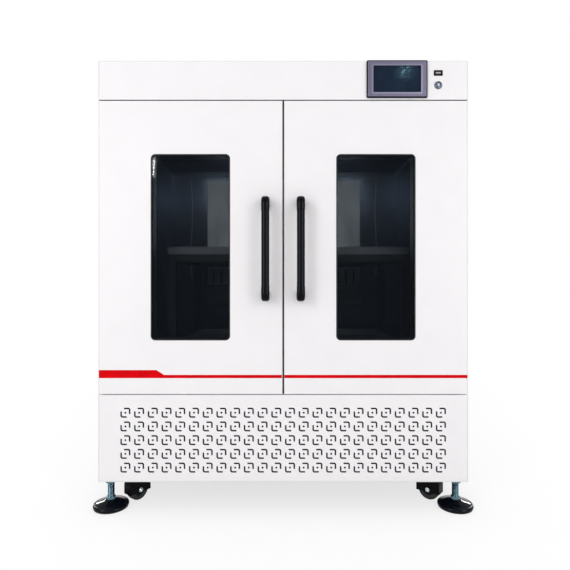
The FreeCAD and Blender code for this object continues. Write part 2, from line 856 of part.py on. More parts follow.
def make_inner_liner():
    """The chamber: a box of thin sheet, open at the front, its floor bored for the drive."""
    body = new_body("liner_body")
    x = ("-chamber_half_width", "chamber_half_width")
    z = ("chamber_bottom", "chamber_top")
    y = ("frame_back", "chamber_back")
    outer = rectangle(grown(x, "liner_sheet"), grown(z, "liner_sheet"), "liner_corner + liner_sheet")
    pad(body, "y", (y[0], f"{y[1]} + liner_sheet"), outer)
    pocket(body, "y", (f"{y[0]} - overrun", y[1]), rectangle(x, z, "liner_corner"))
    hole = "housing_radius + clearance"
    pocket(body, "z", ("chamber_bottom - overrun", "chamber_bottom + overrun"),
           ("0", "crank_y", hole), ("idler_offset", "idler_y", hole),
           ("-idler_offset", "idler_y", hole))
    return node("inner_liner", body)


def make_insulation_foam():
    """Foam between the chamber and the outer sheets, bored for the crank housings."""
    body = new_body("foam_body")
    y = ("shell_front", "inner_back")
    pad(body, "y", y, rectangle(("-inner_half_width", "inner_half_width"),
                                ("deck_top + clearance", "header_bottom")))
    play = "liner_sheet + clearance"
    x = grown(("-chamber_half_width", "chamber_half_width"), play)
    z = grown(("chamber_bottom", "chamber_top"), play)
    pocket(body, "y", (f"{y[0]} - overrun", f"chamber_back + {play}"),
           rectangle(x, z, "liner_corner + liner_sheet"))
    hole = "housing_flange_radius + clearance"
    pocket(body, "z", ("deck_top - overrun", "chamber_bottom"),
           ("0", "crank_y", hole), ("idler_offset", "idler_y", hole),
           ("-idler_offset", "idler_y", hole))
    return node("insulation_foam", body)


def make_duct_cover():
    """The air duct: a folded cover with a sloping foot, two fan mouths and a row of slots."""
    body = new_body("duct_body")
    profile = [("chamber_back", "duct_foot"), ("chamber_back", "duct_top"),
               ("duct_front", "duct_top"), ("duct_front", "duct_lip")]
    pad(body, "x", ("-duct_half_width", "duct_half_width"), profile)
    inner = [("chamber_back + overrun", "duct_foot + liner_sheet"),
             ("chamber_back + overrun", "duct_top - liner_sheet"),
             ("duct_front + liner_sheet", "duct_top - liner_sheet"),
             ("duct_front + liner_sheet", "duct_lip + liner_sheet")]
    pocket(body, "x", ("liner_sheet - duct_half_width", "duct_half_width - liner_sheet"), inner)
    through = ("duct_front - overrun", "duct_front + overrun")
    pocket(body, "y", through, ("fan_offset", "fan_z", "fan_opening"),
           ("-fan_offset", "fan_z", "fan_opening"))
    first_x = "-duct_slot_pitch * (duct_slot_count - 1) / 2"
    slot_z = "duct_lip + duct_slot_rise"
    slot = pocket(body, "y", through, rectangle(
        centred(first_x, "duct_slot_width"), (slot_z, f"{slot_z} + duct_slot_height"),
        f"duct_slot_width * {SLOT_ROUND_SHARE}"))
    grid(body, slot, ("duct_slot_pitch", "duct_slot_height"), ("duct_slot_count", "1"))
    return node("duct_cover", body)


def make_heater_coil():
    """A hairpin heating tube in three runs, on two brackets from the back wall."""
    runs = []
    for step in ("-1", "0", "1"):
        runs.append(rod("x", "heater_tube_radius", ("-heater_half_length", "heater_half_length"),
                        ("heater_y", f"heater_z + {step} * heater_pitch")))
    for side, level in ((1, "heater_z + heater_pitch / 2"), (-1, "heater_z - heater_pitch / 2")):
        bend = doc.addObject("Part::Torus", "bend")
        lie_down = Rotation(Vector(1, 0, 0), QUARTER_TURN)
        face_out = Rotation(Vector(0, 0, 1), -QUARTER_TURN * side)
        bend.Placement = Placement(Vector(), lie_down * face_out)
        bend.Angle3 = FULL_TURN / 2
        bind(bend, {"Radius1": "heater_pitch / 2", "Radius2": "heater_tube_radius",
                    "Placement.Base.x": f"{side} * heater_half_length",
                    "Placement.Base.y": "heater_y", "Placement.Base.z": level})
        runs.append(bend)
    for side in ("-1", "1"):
        z = grown(("heater_z - heater_pitch", "heater_z + heater_pitch"), "heater_bracket_margin")
        runs.append(block(centred(f"{side} * heater_bracket_offset", "heater_bracket_thickness"),
                          ("heater_y - heater_bracket_margin", "chamber_back"), z))
    return node("heater_coil", fuse(*runs))


def make_fan_motors():
    """The two fan motors on the back wall, each with its shaft."""
    motors = []
    for side in ("-1", "1"):
        at = (f"{side} * fan_offset", "fan_z")
        case = rod("y", "fan_motor_radius", ("chamber_back - fan_motor_length", "chamber_back"), at)
        shaft = rod("y", "fan_shaft_radius",
                    ("fan_back - fan_hub_length / 2", "chamber_back"), at)
        motors.append(fuse(case, shaft))
    return node("fan_motors", group(*motors))


def make_circulation_fan(label, side):
    """A radial impeller: hub, back disc and straight blades, on the motor's shaft."""
    x = f"{side} * fan_offset"
    disc_y = ("fan_back - fan_disc", "fan_back")
    disc = rod("y", "fan_radius", disc_y, (x, "fan_z"))
    hub = rod("y", "fan_hub_radius", ("fan_back - fan_hub_length", "fan_back"), (x, "fan_z"))
    blades = []
    for number in range(round(amount("fan_blade_count"))):
        blade = doc.addObject("Part::Box", "blade")
        turn = Rotation(Vector(0, 1, 0), FULL_TURN * number / amount("fan_blade_count"))
        inner = doc.addObject("Part::Compound", "blade_arm")
        bind(blade, {"Length": "fan_radius - fan_blade_start", "Width": "fan_blade_height",
                     "Height": "fan_blade_thickness", "Placement.Base.x": "fan_blade_start",
                     "Placement.Base.y": "-fan_blade_height",
                     "Placement.Base.z": "-fan_blade_thickness / 2"})
        inner.Links = [blade]
        inner.Placement = Placement(Vector(), turn)
        bind(inner, {"Placement.Base.x": x, "Placement.Base.y": disc_y[0],
                     "Placement.Base.z": "fan_z"})
        blades.append(inner)
    bore = rod("y", "fan_shaft_radius + running_gap",
               ("fan_back - fan_hub_length / 2 - clearance", "fan_back + overrun"), (x, "fan_z"))
    return node(label, cut(fuse(disc, hub, *blades), bore))


# Controls in the header

def make_screen_housing():
    """The touch screen's case: a bezel in front of the panel and a box behind it."""
    body = new_body("screen_body")
    bezel = rectangle(centred("screen_x", "screen_width"), centred("screen_z", "screen_height"),
                      "screen_corner")
    pad(body, "y", ("front - screen_proud", "front"), bezel)
    margin = "screen_body_margin * 2 + clearance * 2"
    pad(body, "y", ("front", "front + screen_body_depth"),
        rectangle(centred("screen_x", f"screen_width - ({margin})"),
                  centred("screen_z", f"screen_height - ({margin})")))
    recess = ("front - screen_proud - overrun", "front - screen_proud + display_depth")
    pocket(body, "y", recess, rectangle(centred("screen_x", "display_width + clearance * 2"),
                                        centred("screen_z", "display_height + clearance * 2")))
    return node("screen_housing", body)


def make_screen_glass():
    """The display's glass, just below the bezel's face."""
    y = ("front - screen_proud + clearance", "front - screen_proud + display_depth")
    return node("screen_glass", block(centred("screen_x", "display_width"), y,
                                      centred("screen_z", "display_height")))


def make_usb_port():
    """The data stick's socket: a flanged case with a slot, and the tongue in it."""
    face = "front - socket_proud"
    flange = block(centred("socket_x", "socket_width"), (face, "front"),
                   centred("socket_z", "socket_height"))
    margin = "socket_flange * 2 + clearance * 2"
    case = block(centred("socket_x", f"socket_width - ({margin})"),
                 ("front", "front + socket_body_depth"),
                 centred("socket_z", f"socket_height - ({margin})"))
    slot_y = (f"{face} - overrun", f"{face} + socket_slot_depth")
    slot = block(centred("socket_x", "socket_slot_width"), slot_y,
                 centred("socket_z", "socket_slot_height"))
    tongue_z = "socket_z + socket_slot_height / 2"
    tongue = block(centred("socket_x", "socket_tongue_width"),
                   (f"{face} + socket_proud", slot_y[1]),
                   (f"{tongue_z} - socket_tongue_height", tongue_z))
    return node("usb_port", group(cut(fuse(flange, case), slot), tongue))


def make_power_button():
    """The metal ring in the panel and the cap that slides in it."""
    at = ("socket_x", "button_z")
    rim = rod("y", "ring_radius", ("front - ring_proud", "front"), at)
    barrel = rod("y", "ring_body_radius", ("front", "front + ring_body_depth"), at)
    bore_end = "front - button_proud + button_length + button_travel + clearance"
    bore = rod("y", "ring_bore", ("front - ring_proud - overrun", bore_end), at)
    node("button_ring", cut(fuse(rim, barrel), bore))
    cap_front = "front - ring_proud - button_proud"
    cap = rod("y", "button_radius", (cap_front, f"{cap_front} + button_length"), at)
    return node("power_button", cap)


# Doors, modelled on the right and mirrored to the left

def make_doors():
    x = ("door_inner", "half_width")
    y = ("front", "door_back")
    z = ("door_bottom", "door_top")
    inner_x = grown(x, "-outer_sheet")
    inner_z = grown(z, "-outer_sheet")
    window_x = ("window_left", "window_right")
    window_z = ("window_bottom", "window_top")

    def window(extra):
        """The window's outline, larger all round by a margin."""
        radius = f"window_corner + {extra}"
        return rectangle(grown(window_x, extra), grown(window_z, extra), radius)

    # Skin: a pan with a boss for each hinge pin
    body = new_body("skin_body")
    pad(body, "z", z, [(x[0], y[0], "door_corner"), (x[1], y[0], "door_corner"),
                       (x[1], y[1]), (x[0], y[1])])
    pocket(body, "z", inner_z, rectangle(inner_x, ("front + outer_sheet", "door_back + overrun")))
    pocket(body, "y", ("front - overrun", "front + outer_sheet + overrun"), window("0"))
    boss_x = ("pivot_x - boss_half_width", inner_x[1])
    boss_y = ("front + outer_sheet", "pivot_y + boss_half_width")
    boss_depth = "hinge_pin_reach + outer_sheet * 2"
    boss_spans = ((z[0], f"{z[0]} + {boss_depth}"), (f"{z[1]} - ({boss_depth})", z[1]))
    bosses = [block(boss_x, boss_y, grown(span, "-outer_sheet")) for span in boss_spans]
    bore_radius = "hinge_pin_radius + running_gap"
    bore_depth = "hinge_pin_reach + clearance"
    bores = [rod("z", bore_radius, (f"{z[0]} - overrun", f"{z[0]} + {bore_depth}"),
                 ("pivot_x", "pivot_y")),
             rod("z", bore_radius, (f"{z[1]} - ({bore_depth})", f"{z[1]} + overrun"),
                 ("pivot_x", "pivot_y"))]
    skin = node("right_door_skin", cut(fuse(body, *bosses), *bores))

    # Liner: the sheet that closes the back of the pan
    body = new_body("door_liner_body")
    liner_y = ("door_back - liner_sheet", "door_back")
    pad(body, "y", liner_y, rectangle(grown(inner_x, "-clearance"), grown(inner_z, "-clearance")))
    pocket(body, "y", grown(liner_y, "overrun"), window("seal_flange + clearance"))
    liner = node("right_door_liner", body)

    # Foam between skin and liner
    body = new_body("door_foam_body")
    foam_y = ("front + outer_sheet + clearance", "door_back - liner_sheet - clearance")
    pad(body, "y", foam_y, rectangle(grown(inner_x, "-clearance"), grown(inner_z, "-clearance")))
    pocket(body, "y", grown(foam_y, "overrun"), window("seal_flange + clearance"))
    recesses = [block(grown(boss_x, "clearance"), grown(boss_y, "clearance"),
                      grown(span, "clearance")) for span in boss_spans]
    foam = node("right_door_foam", cut(body, *recesses))

    # Window seal: a lip in the skin's hole, a thick ring behind it and a groove for each pane
    body = new_body("seal_body")
    pad(body, "y", ("front", "front + outer_sheet + clearance"), window("-clearance"))
    pad(body, "y", ("front + outer_sheet + clearance", "door_back"), window("seal_flange"))
    pocket(body, "y", grown(y, "overrun"), window("-window_border"))
    pane_edge = "pane_bite - window_border"
    front_pane = ("front + pane_recess", "front + pane_recess + pane_thickness")
    back_pane = ("door_back - pane_recess - pane_thickness", "door_back - pane_recess")
    for pane in (front_pane, back_pane):
        pocket(body, "y", grown(pane, "clearance"), window(f"{pane_edge} + clearance"))
    seal = node("right_window_seal", body)

    # Two panes
    panes = []
    for pane in (front_pane, back_pane):
        body = new_body("pane_body")
        pad(body, "y", pane, window(pane_edge))
        panes.append(body)
    glass = node("right_window_glass", group(*panes))

    # Magnetic gasket on the back of the door
    body = new_body("gasket_body")
    gasket_x = ("gasket_middle_inset", "half_width - gasket_hinge_inset")
    gasket_z = ("door_bottom + gasket_end_inset", "door_top - gasket_end_inset")
    gasket_y = ("door_back", "frame_front - gasket_rest_gap")
    pad(body, "y", gasket_y, rectangle(gasket_x, gasket_z, "gasket_width / 2"))
    pocket(body, "y", grown(gasket_y, "overrun"),
           rectangle(grown(gasket_x, "-gasket_width"), grown(gasket_z, "-gasket_width")))
    gasket = node("right_door_gasket", body)

    handle = node("right_door_handle", make_handle())
    for piece in (skin, liner, foam, seal, glass, gasket, handle):
        node(piece.Label.replace("right", "left"), mirrored(piece))


def make_handle():
    """An upright tube between two moulded elbows that stand on the door."""
    at = ("handle_inset", "handle_axis")
    half = "handle_spacing / 2 - handle_bend"
    pieces = [rod("z", "handle_radius", centred("handle_middle", f"({half}) * 2"), at)]
    for side in ("1", "-1"):
        sleeve_end = "handle_spacing / 2 + handle_leg_height / 2 - handle_sleeve"
        ends = [f"handle_middle + {side} * ({level})" for level in (sleeve_end, half)]
        pieces.append(rod("z", "handle_end_radius", ends if side == "1" else ends[::-1], at))
        pieces.append(handle_elbow(side, half))
    return fuse(*pieces)


def handle_elbow(side, start):
    """Half round in front, square-shouldered at its end, and bent back to the door."""
    x = centred("handle_inset", "handle_end_radius * 2")
    y = ("handle_axis - handle_end_radius", "front")
    inner_y = "handle_axis + handle_end_radius"
    near = f"handle_middle + {side} * ({start})"
    leg = f"handle_middle + {side} * (handle_spacing / 2 - handle_leg_height / 2)"
    far = f"handle_middle + {side} * (handle_spacing / 2 + handle_leg_height / 2)"
    profile = new_body("elbow_profile")
    pad(profile, "x", x, [
        (y[0], near), (inner_y, near), (inner_y, leg, "handle_inner_bend"), (y[1], leg),
        (y[1], far), (y[0], far, "handle_bend")])
    plan = new_body("elbow_plan")
    pad(plan, "z", grown((near, far) if side == "1" else (far, near), "overrun"),
        [(x[0], y[1]), (x[1], y[1]), (x[1], y[0], "handle_nose_round"),
         (x[0], y[0], "handle_nose_round")])
    face = new_body("elbow_face")
    before = f"{near} - {side} * overrun"
    pad(face, "y", grown(y, "overrun"), [
        (x[0], before), (x[1], before), (x[1], far, "handle_leg_round"),
        (x[0], far, "handle_leg_round")])
    return common(profile, plan, face)


def make_hinge_brackets():
    """Four plates on the front frame, behind the pans, each with a pin into a door."""
    brackets = []
    for side in ("-1", "1"):
        at = (f"{side} * pivot_x", "pivot_y")
        x = centred(at[0], "hinge_half_width * 2")
        plate_y = ("pivot_y - hinge_pin_radius - hinge_rim", "frame_front")
        flange_y = ("frame_front - hinge_flange", "frame_front")
        low = "header_bottom + outer_sheet + clearance"
        top_plate = block(x, plate_y, (low, f"{low} + hinge_plate"))
        top_flange = block(x, flange_y, (low, "header_bottom + frame_lap"))
        top_pin = rod("z", "hinge_pin_radius", ("door_top - hinge_pin_reach", low), at)
        brackets.append(fuse(top_plate, top_flange, top_pin))
        high = "base_top - outer_sheet - clearance"
        base_plate = block(x, plate_y, (f"{high} - hinge_plate", high))
        base_flange = block(x, flange_y, ("base_top - frame_lap", high))
        base_pin = rod("z", "hinge_pin_radius", (high, "door_bottom + hinge_pin_reach"), at)
        brackets.append(fuse(base_plate, base_flange, base_pin))
    return node("hinge_brackets", group(*brackets))


# Orbital drive

def make_crank_housings():
    """Three flanged bearing housings on the deck, up through the chamber's floor."""
    housings = []
    for x, y in (("0", "crank_y"), ("-idler_offset", "idler_y"), ("idler_offset", "idler_y")):
        body = turned("housing", [
            ("shaft_radius + running_gap", "deck_top"),
            ("housing_flange_radius", "deck_top"),
            ("housing_flange_radius", "deck_top + housing_flange_thickness"),
            ("housing_radius", "deck_top + housing_flange_thickness"),
            ("housing_radius", "housing_top"),
            ("shaft_radius + running_gap", "housing_top")])
        housings.append(stand(body, x, y))
    return node("crank_housings", group(*housings))


def crank(bottom):
    """A shaft, the arm disc on top of it and the eccentric pin."""
    shaft = rod("z", "shaft_radius", (bottom, "arm_bottom"), ("0", "0"))
    arm = rod("z", "arm_radius", ("arm_bottom", "arm_top"), ("0", "0"))
    pin = rod("z", "pin_radius", ("arm_top", "pin_top"), ("orbit_radius", "0"))
    return [shaft, arm, pin]


def make_main_crank():
    """The driven crank with its counterweight, and the pulley on its lower end."""
    pieces = crank("pulley_bottom - shaft_tail")
    weight = doc.addObject("Part::Cylinder", "weight")
    half_sweep = "weight_angle / 2"
    weight.Placement = Placement(Vector(), Rotation(Vector(0, 0, 1), FULL_TURN / 2 - amount(half_sweep)))
    bind(weight, {"Radius": "weight_radius", "Height": "weight_height", "Angle": "weight_angle",
                  "Placement.Base.z": "deck_bottom - weight_drop",
                  "Placement.Rotation.Angle": f"{FULL_TURN} / 2 - {half_sweep}"})
    pulley = tube("z", "crank_pulley_radius", "shaft_radius + running_gap",
                  ("pulley_bottom", "pulley_top"), ("0", "0"))
    return node("main_crank", stand(group(fuse(*pieces, weight), pulley), "0", "crank_y"))


def make_idler_crank(label, side):
    """A carried crank, held under the deck by a collar."""
    collar_z = ("deck_bottom - clearance - collar_height", "deck_bottom - clearance")
    collar = rod("z", "collar_radius", collar_z, ("0", "0"))
    body = fuse(*crank(collar_z[0]), collar)
    return node(label, stand(body, f"{side} * idler_offset", "idler_y"))


def make_drive_motor():
    """The motor, hung under the deck by its flange."""
    at = ("motor_x", "crank_y")
    flange_z = ("deck_bottom - motor_flange_thickness", "deck_bottom")
    flange = block(centred(at[0], "motor_flange"), centred(at[1], "motor_flange"), flange_z)
    case_bottom = f"{flange_z[0]} - motor_length"
    case = rod("z", "motor_radius", (case_bottom, flange_z[0]), at)
    shaft = rod("z", "motor_shaft_radius", ("pulley_bottom - shaft_tail", case_bottom), at)
    return node("drive_motor", fuse(flange, case, shaft))


def make_motor_pulley():
    """The small pulley on the motor's shaft."""
    return node("motor_pulley", tube(
        "z", "motor_pulley_radius", "motor_shaft_radius + running_gap",
        ("pulley_bottom", "pulley_top"), ("motor_x", "crank_y")))


def make_drive_belt():
    """The flat belt: the hull of both pulleys with a smaller hull taken out of it."""
    belt_z = ("belt_bottom", "belt_bottom + belt_height")

    def hull(extra, z):
        big = f"(crank_pulley_radius + {extra})"
        small = f"(motor_pulley_radius + {extra})"
        lean = "(crank_pulley_radius - motor_pulley_radius) / motor_offset"
        flat = f"sqrt(1 - ({lean})^2)"
        body = new_body("web")
        pad(body, "z", z, [
            (f"-{big} * {lean}", f"crank_y + {big} * {flat}"),
            (f"motor_x - {small} * {lean}", f"crank_y + {small} * {flat}"),
            (f"motor_x - {small} * {lean}", f"crank_y - {small} * {flat}"),
            (f"-{big} * {lean}", f"crank_y - {big} * {flat}")])
        return fuse(body, rod("z", big, z, ("0", "crank_y")), rod("z", small, z, ("motor_x", "crank_y")))

    return node("drive_belt", cut(hull("clearance + belt_thickness", belt_z),
                                  hull("clearance", grown(belt_z, "overrun"))))


# Shaken load; at rest the pins point towards +X, so the platform stands an orbit radius off

def make_platform_frame():
    """The frame on the three pins, with corner posts and rails for the upper tray."""
    beam_z = ("beam_bottom", "beam_top")
    pieces = []
    long_x = centred("orbit_radius", "(post_x + post_width / 2) * 2")
    inner_y = ("load_y - beam_y", "load_y + beam_y")
    for side in ("-1", "1"):
        pieces.append(block(long_x, centred(f"load_y + {side} * beam_y", "beam_width"), beam_z))
        pieces.append(block(long_x, centred(f"load_y + {side} * beam_y", "beam_width"),
                            ("shelf_bottom", "shelf_top")))
    for x in ("0", "-idler_offset", "idler_offset"):
        pieces.append(block(centred(f"orbit_radius + {x}", "cross_beam_width"), inner_y, beam_z))
    for side in ("-1", "1"):
        x = centred(f"orbit_radius + {side} * post_x", "post_width")
        pieces.append(block(x, inner_y, ("shelf_bottom", "shelf_top")))
        for end in ("-1", "1"):
            pieces.append(block(x, centred(f"load_y + {end} * beam_y", "beam_width"),
                                ("beam_bottom", "shelf_top")))
    bores = []
    for x, y in (("0", "crank_y"), ("-idler_offset", "idler_y"), ("idler_offset", "idler_y")):
        at = (f"orbit_radius + {x}", y)
        pieces.append(rod("z", "cup_radius", ("arm_top + cup_gap", "beam_bottom"), at))
        bores.append(rod("z", "pin_radius + running_gap",
                         ("arm_top - overrun", "pin_top + clearance"), at))
    return node("platform_frame", cut(fuse(*pieces), *bores))


def make_tray(label, width, columns, bottom):
    """A shallow pan with a grid of fixing holes."""
    body = new_body(label + "_body")
    x = centred("orbit_radius", width)
    y = centred("load_y", "tray_depth")
    z = (bottom, f"{bottom} + tray_lip")
    pad(body, "z", z, rectangle(x, y, "tray_corner"))
    pocket(body, "z", (f"{z[0]} + tray_sheet", f"{z[1]} + overrun"),
           rectangle(grown(x, "-tray_sheet"), grown(y, "-tray_sheet"), "tray_corner - tray_sheet"))
    first_x = f"orbit_radius - tray_hole_pitch * ({columns} - 1) / 2"
    first_y = "load_y - tray_hole_pitch * (tray_rows_count - 1) / 2"
    hole = pocket(body, "z", (f"{z[0]} - overrun", f"{z[0]} + tray_sheet + overrun"),
                  (first_x, first_y, "tray_hole_radius"))
    grid(body, hole, ("tray_hole_pitch", "tray_hole_pitch"), (columns, "tray_rows_count"))
    return node(label, body)


def make_compressor():
    """The cooling compressor: a foot plate and a domed shell with its welded band."""
    top = "compressor_bottom + compressor_height"
    shell = turned("shell", [("0", "compressor_bottom"),
                             ("compressor_radius", "compressor_bottom", "compressor_dome / 2"),
                             ("compressor_radius", top, "compressor_dome"), ("0", top)])
    band = rod("z", "compressor_radius + compressor_band",
               centred("compressor_bottom + compressor_height / 2", "compressor_band_height"),
               ("0", "0"))
    foot = block(centred("0", "compressor_foot"), centred("0", "compressor_foot"),
                 ("bar_top", "compressor_bottom"))
    return node("compressor", stand(fuse(shell, band, foot), "compressor_offset", "compressor_y"))


# Feet and casters

def make_foot(label, x, y):
    """A levelling foot: the pad and the threaded stud seated in its collar."""
    pad_body = turned("pad", [
        ("0", "0"), ("pad_radius", "0"), ("pad_radius", "pad_rim", "pad_rim_round"),
        ("pad_neck_radius", "pad_neck_height"), ("pad_collar_radius", "pad_neck_height"),
        ("pad_collar_radius", "pad_collar_height"),
        ("stud_radius + running_gap", "pad_collar_height"),
        ("stud_radius + running_gap", "stud_seat"), ("0", "stud_seat")])
    stud = rod("z", "stud_radius", ("stud_seat", "stud_top"), ("0", "0"))
    return node(label, stand(group(pad_body, stud), x, y))


def make_leveling_nuts():
    """The nuts under the frame that the studs turn in."""
    nuts = []
    for x in ("-foot_x", "foot_x"):
        for y in ("foot_front", "foot_back"):
            prism = doc.addObject("Part::Prism", "hexagon")
            prism.Polygon = 6
            z = ("floor_clearance - nut_height", "floor_clearance")
            bind(prism, {"Circumradius": "nut_flats / sqrt(3)", "Height": "nut_height",
                         "Placement.Base.z": z[0]})
            bore = rod("z", "stud_radius + running_gap", grown(z, "overrun"), ("0", "0"))
            nuts.append(stand(cut(prism, bore), x, y))
    return node("leveling_nuts", group(*nuts))


def caster_fork(rigid):
    """A hood over the wheel with the axle through it, made about its upright axis."""
    body = new_body("hood")
    top = "plate_bottom" if rigid else "crown_bottom"
    low = "axle_height - hood_drop"
    half = "hood_half_width + hood_wall"
    pad(body, "x", (f"-({half})", half), [
        ("hood_front", low), ("hood_back", low), ("hood_back", "crown_bottom", "hood_round"),
        ("hood_front", "crown_bottom", "hood_wall")])
    inside = ("-hood_half_width", "hood_half_width")
    pocket(body, "x", inside, ("caster_trail", "axle_height", "hood_radius"))
    pocket(body, "x", inside, rectangle(
        ("caster_trail - hood_radius", "caster_trail + hood_radius"),
        (f"{low} - overrun", "axle_height")))
    axle = rod("x", "axle_radius", grown((f"-({half})", half), "hood_gap"),
               ("caster_trail", "axle_height"))
    crown_top = top if rigid else "plate_bottom - swivel_gap"
    crown = rod("z", "crown_radius", ("crown_bottom", crown_top), ("0", "0"))
    return [body, axle, crown]


def make_swivel_fork(label, x, yaw):
    """A front fork that turns under its plate, with ears and a pin for the brake lever."""
    pieces = caster_fork(False)
    pieces.append(rod("z", "kingpin_radius", ("crown_bottom", "floor_clearance - clearance"),
                      ("0", "0")))
    ear_x = "brake_width / 2 + clearance"
    ear_y = ("brake_y - brake_barrel_radius", "hood_front + hood_wall")
    ear_z = centred("brake_z", "brake_barrel_radius * 2")
    pieces.append(block((ear_x, f"{ear_x} + brake_ear"), ear_y, ear_z))
    pieces.append(block((f"-({ear_x}) - brake_ear", f"-({ear_x})"), ear_y, ear_z))
    pin_half = f"{ear_x} + brake_ear"
    pieces.append(rod("x", "brake_pin_radius", (f"-({pin_half})", pin_half), ("brake_y", "brake_z")))
    return node(label, stand(fuse(*pieces), x, "caster_front", yaw))


def make_brake(label, x, yaw):
    """The brake lever: a barrel on the fork's pin and the toe plate."""
    half = "brake_width / 2"
    across = (f"-{half}", half)
    barrel = rod("x", "brake_barrel_radius", across, ("brake_y", "brake_z"))
    toe = block(across, ("brake_y - brake_length", "brake_y"),
                ("brake_z + brake_barrel_radius - brake_thickness", "brake_z + brake_barrel_radius"))
    bore = rod("x", "brake_pin_radius + running_gap", grown(across, "overrun"),
               ("brake_y", "brake_z"))
    return node(label, stand(cut(fuse(barrel, toe), bore), x, "caster_front", yaw))


def make_wheel(label, x, y, yaw=None):
    """A wheel: tyre with rounded shoulders and a dished hub, bored for the axle."""
    body = new_body("wheel")
    half = "wheel_width / 2"
    sketch = drawn(body, "z", "0", [[
        (f"-({half} - wheel_hub_dish)", "axle_radius + running_gap"),
        (f"{half} - wheel_hub_dish", "axle_radius + running_gap"),
        (f"{half} - wheel_hub_dish", "wheel_hub_radius"), (half, "wheel_hub_radius"),
        (half, "wheel_radius", "wheel_round"), (f"-{half}", "wheel_radius", "wheel_round"),
        (f"-{half}", "wheel_hub_radius"),
        (f"-({half} - wheel_hub_dish)", "wheel_hub_radius")]])
    feature = body.newObject("PartDesign::Revolution", "revolution")
    feature.Profile = sketch
    feature.ReferenceAxis = (sketch, ["H_Axis"])
    feature.Angle = FULL_TURN
    bind(body, {"Placement.Base.y": "caster_trail", "Placement.Base.z": "axle_height"})
    return node(label, stand(group(body), x, y, yaw))


def make_caster_plates():
    """Four plates under the frame, the rear two each with a rigid fork."""
    pieces = []
    for side in ("-1", "1"):
        x = f"{side} * caster_x"
        spans = (centred(x, "caster_plate_width"), ("plate_bottom", "floor_clearance"))
        front = block(spans[0], centred("caster_front", "caster_plate_length"), spans[1])
        kingpin_hole = rod("z", "kingpin_radius + running_gap", grown(spans[1], "overrun"),
                           (x, "caster_front"))
        pieces.append(cut(front, kingpin_hole))
        rear = block(spans[0], centred("caster_back", "caster_plate_length"), spans[1])
        fork = stand(fuse(*caster_fork(True)), x, "caster_back")
        pieces.append(fuse(rear, fork))
    return node("caster_plates", group(*pieces))


make_base_frame()
make_drive_deck()
make_outer_wrap()
make_rear_panel()
make_power_inlet()
make_header_panel()
make_base_grille()
make_front_frame()
make_inner_liner()
make_insulation_foam()
make_duct_cover()
make_heater_coil()
make_fan_motors()
make_circulation_fan("circulation_fan_left", "-1")
make_circulation_fan("circulation_fan_right", "1")
make_screen_housing()
make_screen_glass()
make_usb_port()
make_power_button()
make_doors()
make_hinge_brackets()
make_crank_housings()
make_main_crank()
make_idler_crank("idler_crank_left", "-1")
make_idler_crank("idler_crank_right", "1")
make_drive_motor()
make_motor_pulley()
make_drive_belt()
make_platform_frame()
make_tray("lower_tray", "lower_tray_width", "lower_columns_count", "beam_top")
make_tray("upper_tray", "upper_tray_width", "upper_columns_count", "shelf_top")
make_compressor()
for end in ("front", "back"):
    make_foot(f"foot_{end}_left", "-foot_x", f"foot_{end}")
    make_foot(f"foot_{end}_right", "foot_x", f"foot_{end}")
make_leveling_nuts()
for hand, side in (("left", "-1"), ("right", "1")):
    across = f"{side} * caster_x"
    make_swivel_fork(f"caster_fork_{hand}", across, f"caster_yaw_{hand}")
    make_brake(f"caster_brake_{hand}", across, f"caster_yaw_{hand}")
    make_wheel(f"caster_wheel_front_{hand}", across, "caster_front", f"caster_yaw_{hand}")
    make_wheel(f"caster_wheel_back_{hand}", across, "caster_back")
make_caster_plates()

doc.recompute()
faults = [f"{item.Label}: {item.State}" for item in doc.Objects
          if "Invalid" in item.State or "Error" in item.State]
for label, item in parts.items():
    if item.Label != label:
        faults.append(f"{label}: the label became {item.Label}")
    if item.Shape.isNull() or not item.Shape.isValid() or not item.Shape.Solids:
        faults.append(f"{label}: no valid solid")
if faults:
    raise RuntimeError("; ".join(faults))

os.makedirs("parts", exist_ok=True)
for label, item in parts.items():
    item.Shape.exportStep(f"parts/{label}.step")
print(f"{len(parts)} parts written")
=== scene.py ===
import math

import bmesh
import bpy
from mathutils import Matrix, Vector

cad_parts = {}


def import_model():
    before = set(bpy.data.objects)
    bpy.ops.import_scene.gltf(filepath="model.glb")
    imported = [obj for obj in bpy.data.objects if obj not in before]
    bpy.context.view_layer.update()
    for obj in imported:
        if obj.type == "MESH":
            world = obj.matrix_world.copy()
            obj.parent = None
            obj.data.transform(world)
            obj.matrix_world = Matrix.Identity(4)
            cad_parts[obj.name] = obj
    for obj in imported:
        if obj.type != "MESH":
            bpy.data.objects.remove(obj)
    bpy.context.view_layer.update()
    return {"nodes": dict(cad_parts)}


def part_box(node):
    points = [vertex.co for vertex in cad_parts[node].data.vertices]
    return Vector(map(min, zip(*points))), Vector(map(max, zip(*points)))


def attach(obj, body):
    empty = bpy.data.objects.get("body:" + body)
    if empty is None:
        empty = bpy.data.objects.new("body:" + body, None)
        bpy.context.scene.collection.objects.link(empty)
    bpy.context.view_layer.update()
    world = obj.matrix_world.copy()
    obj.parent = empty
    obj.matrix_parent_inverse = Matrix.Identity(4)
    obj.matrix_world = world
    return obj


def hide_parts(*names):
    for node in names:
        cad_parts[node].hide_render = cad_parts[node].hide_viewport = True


# The looks of an upright shaking incubator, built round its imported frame. Metres, +Z up,
# the front towards -Y, +X to the viewer's right.

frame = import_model()

MM = 0.001
TURN = 2 * math.pi
QUARTER = TURN / 4
SIDES = (("left", -1), ("right", 1))
HEADER_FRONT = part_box("header_panel")[0].y
# The gap left between a film or bead and the surface that it lies on
SKIN_LIFT = 0.15 * MM


# Materials

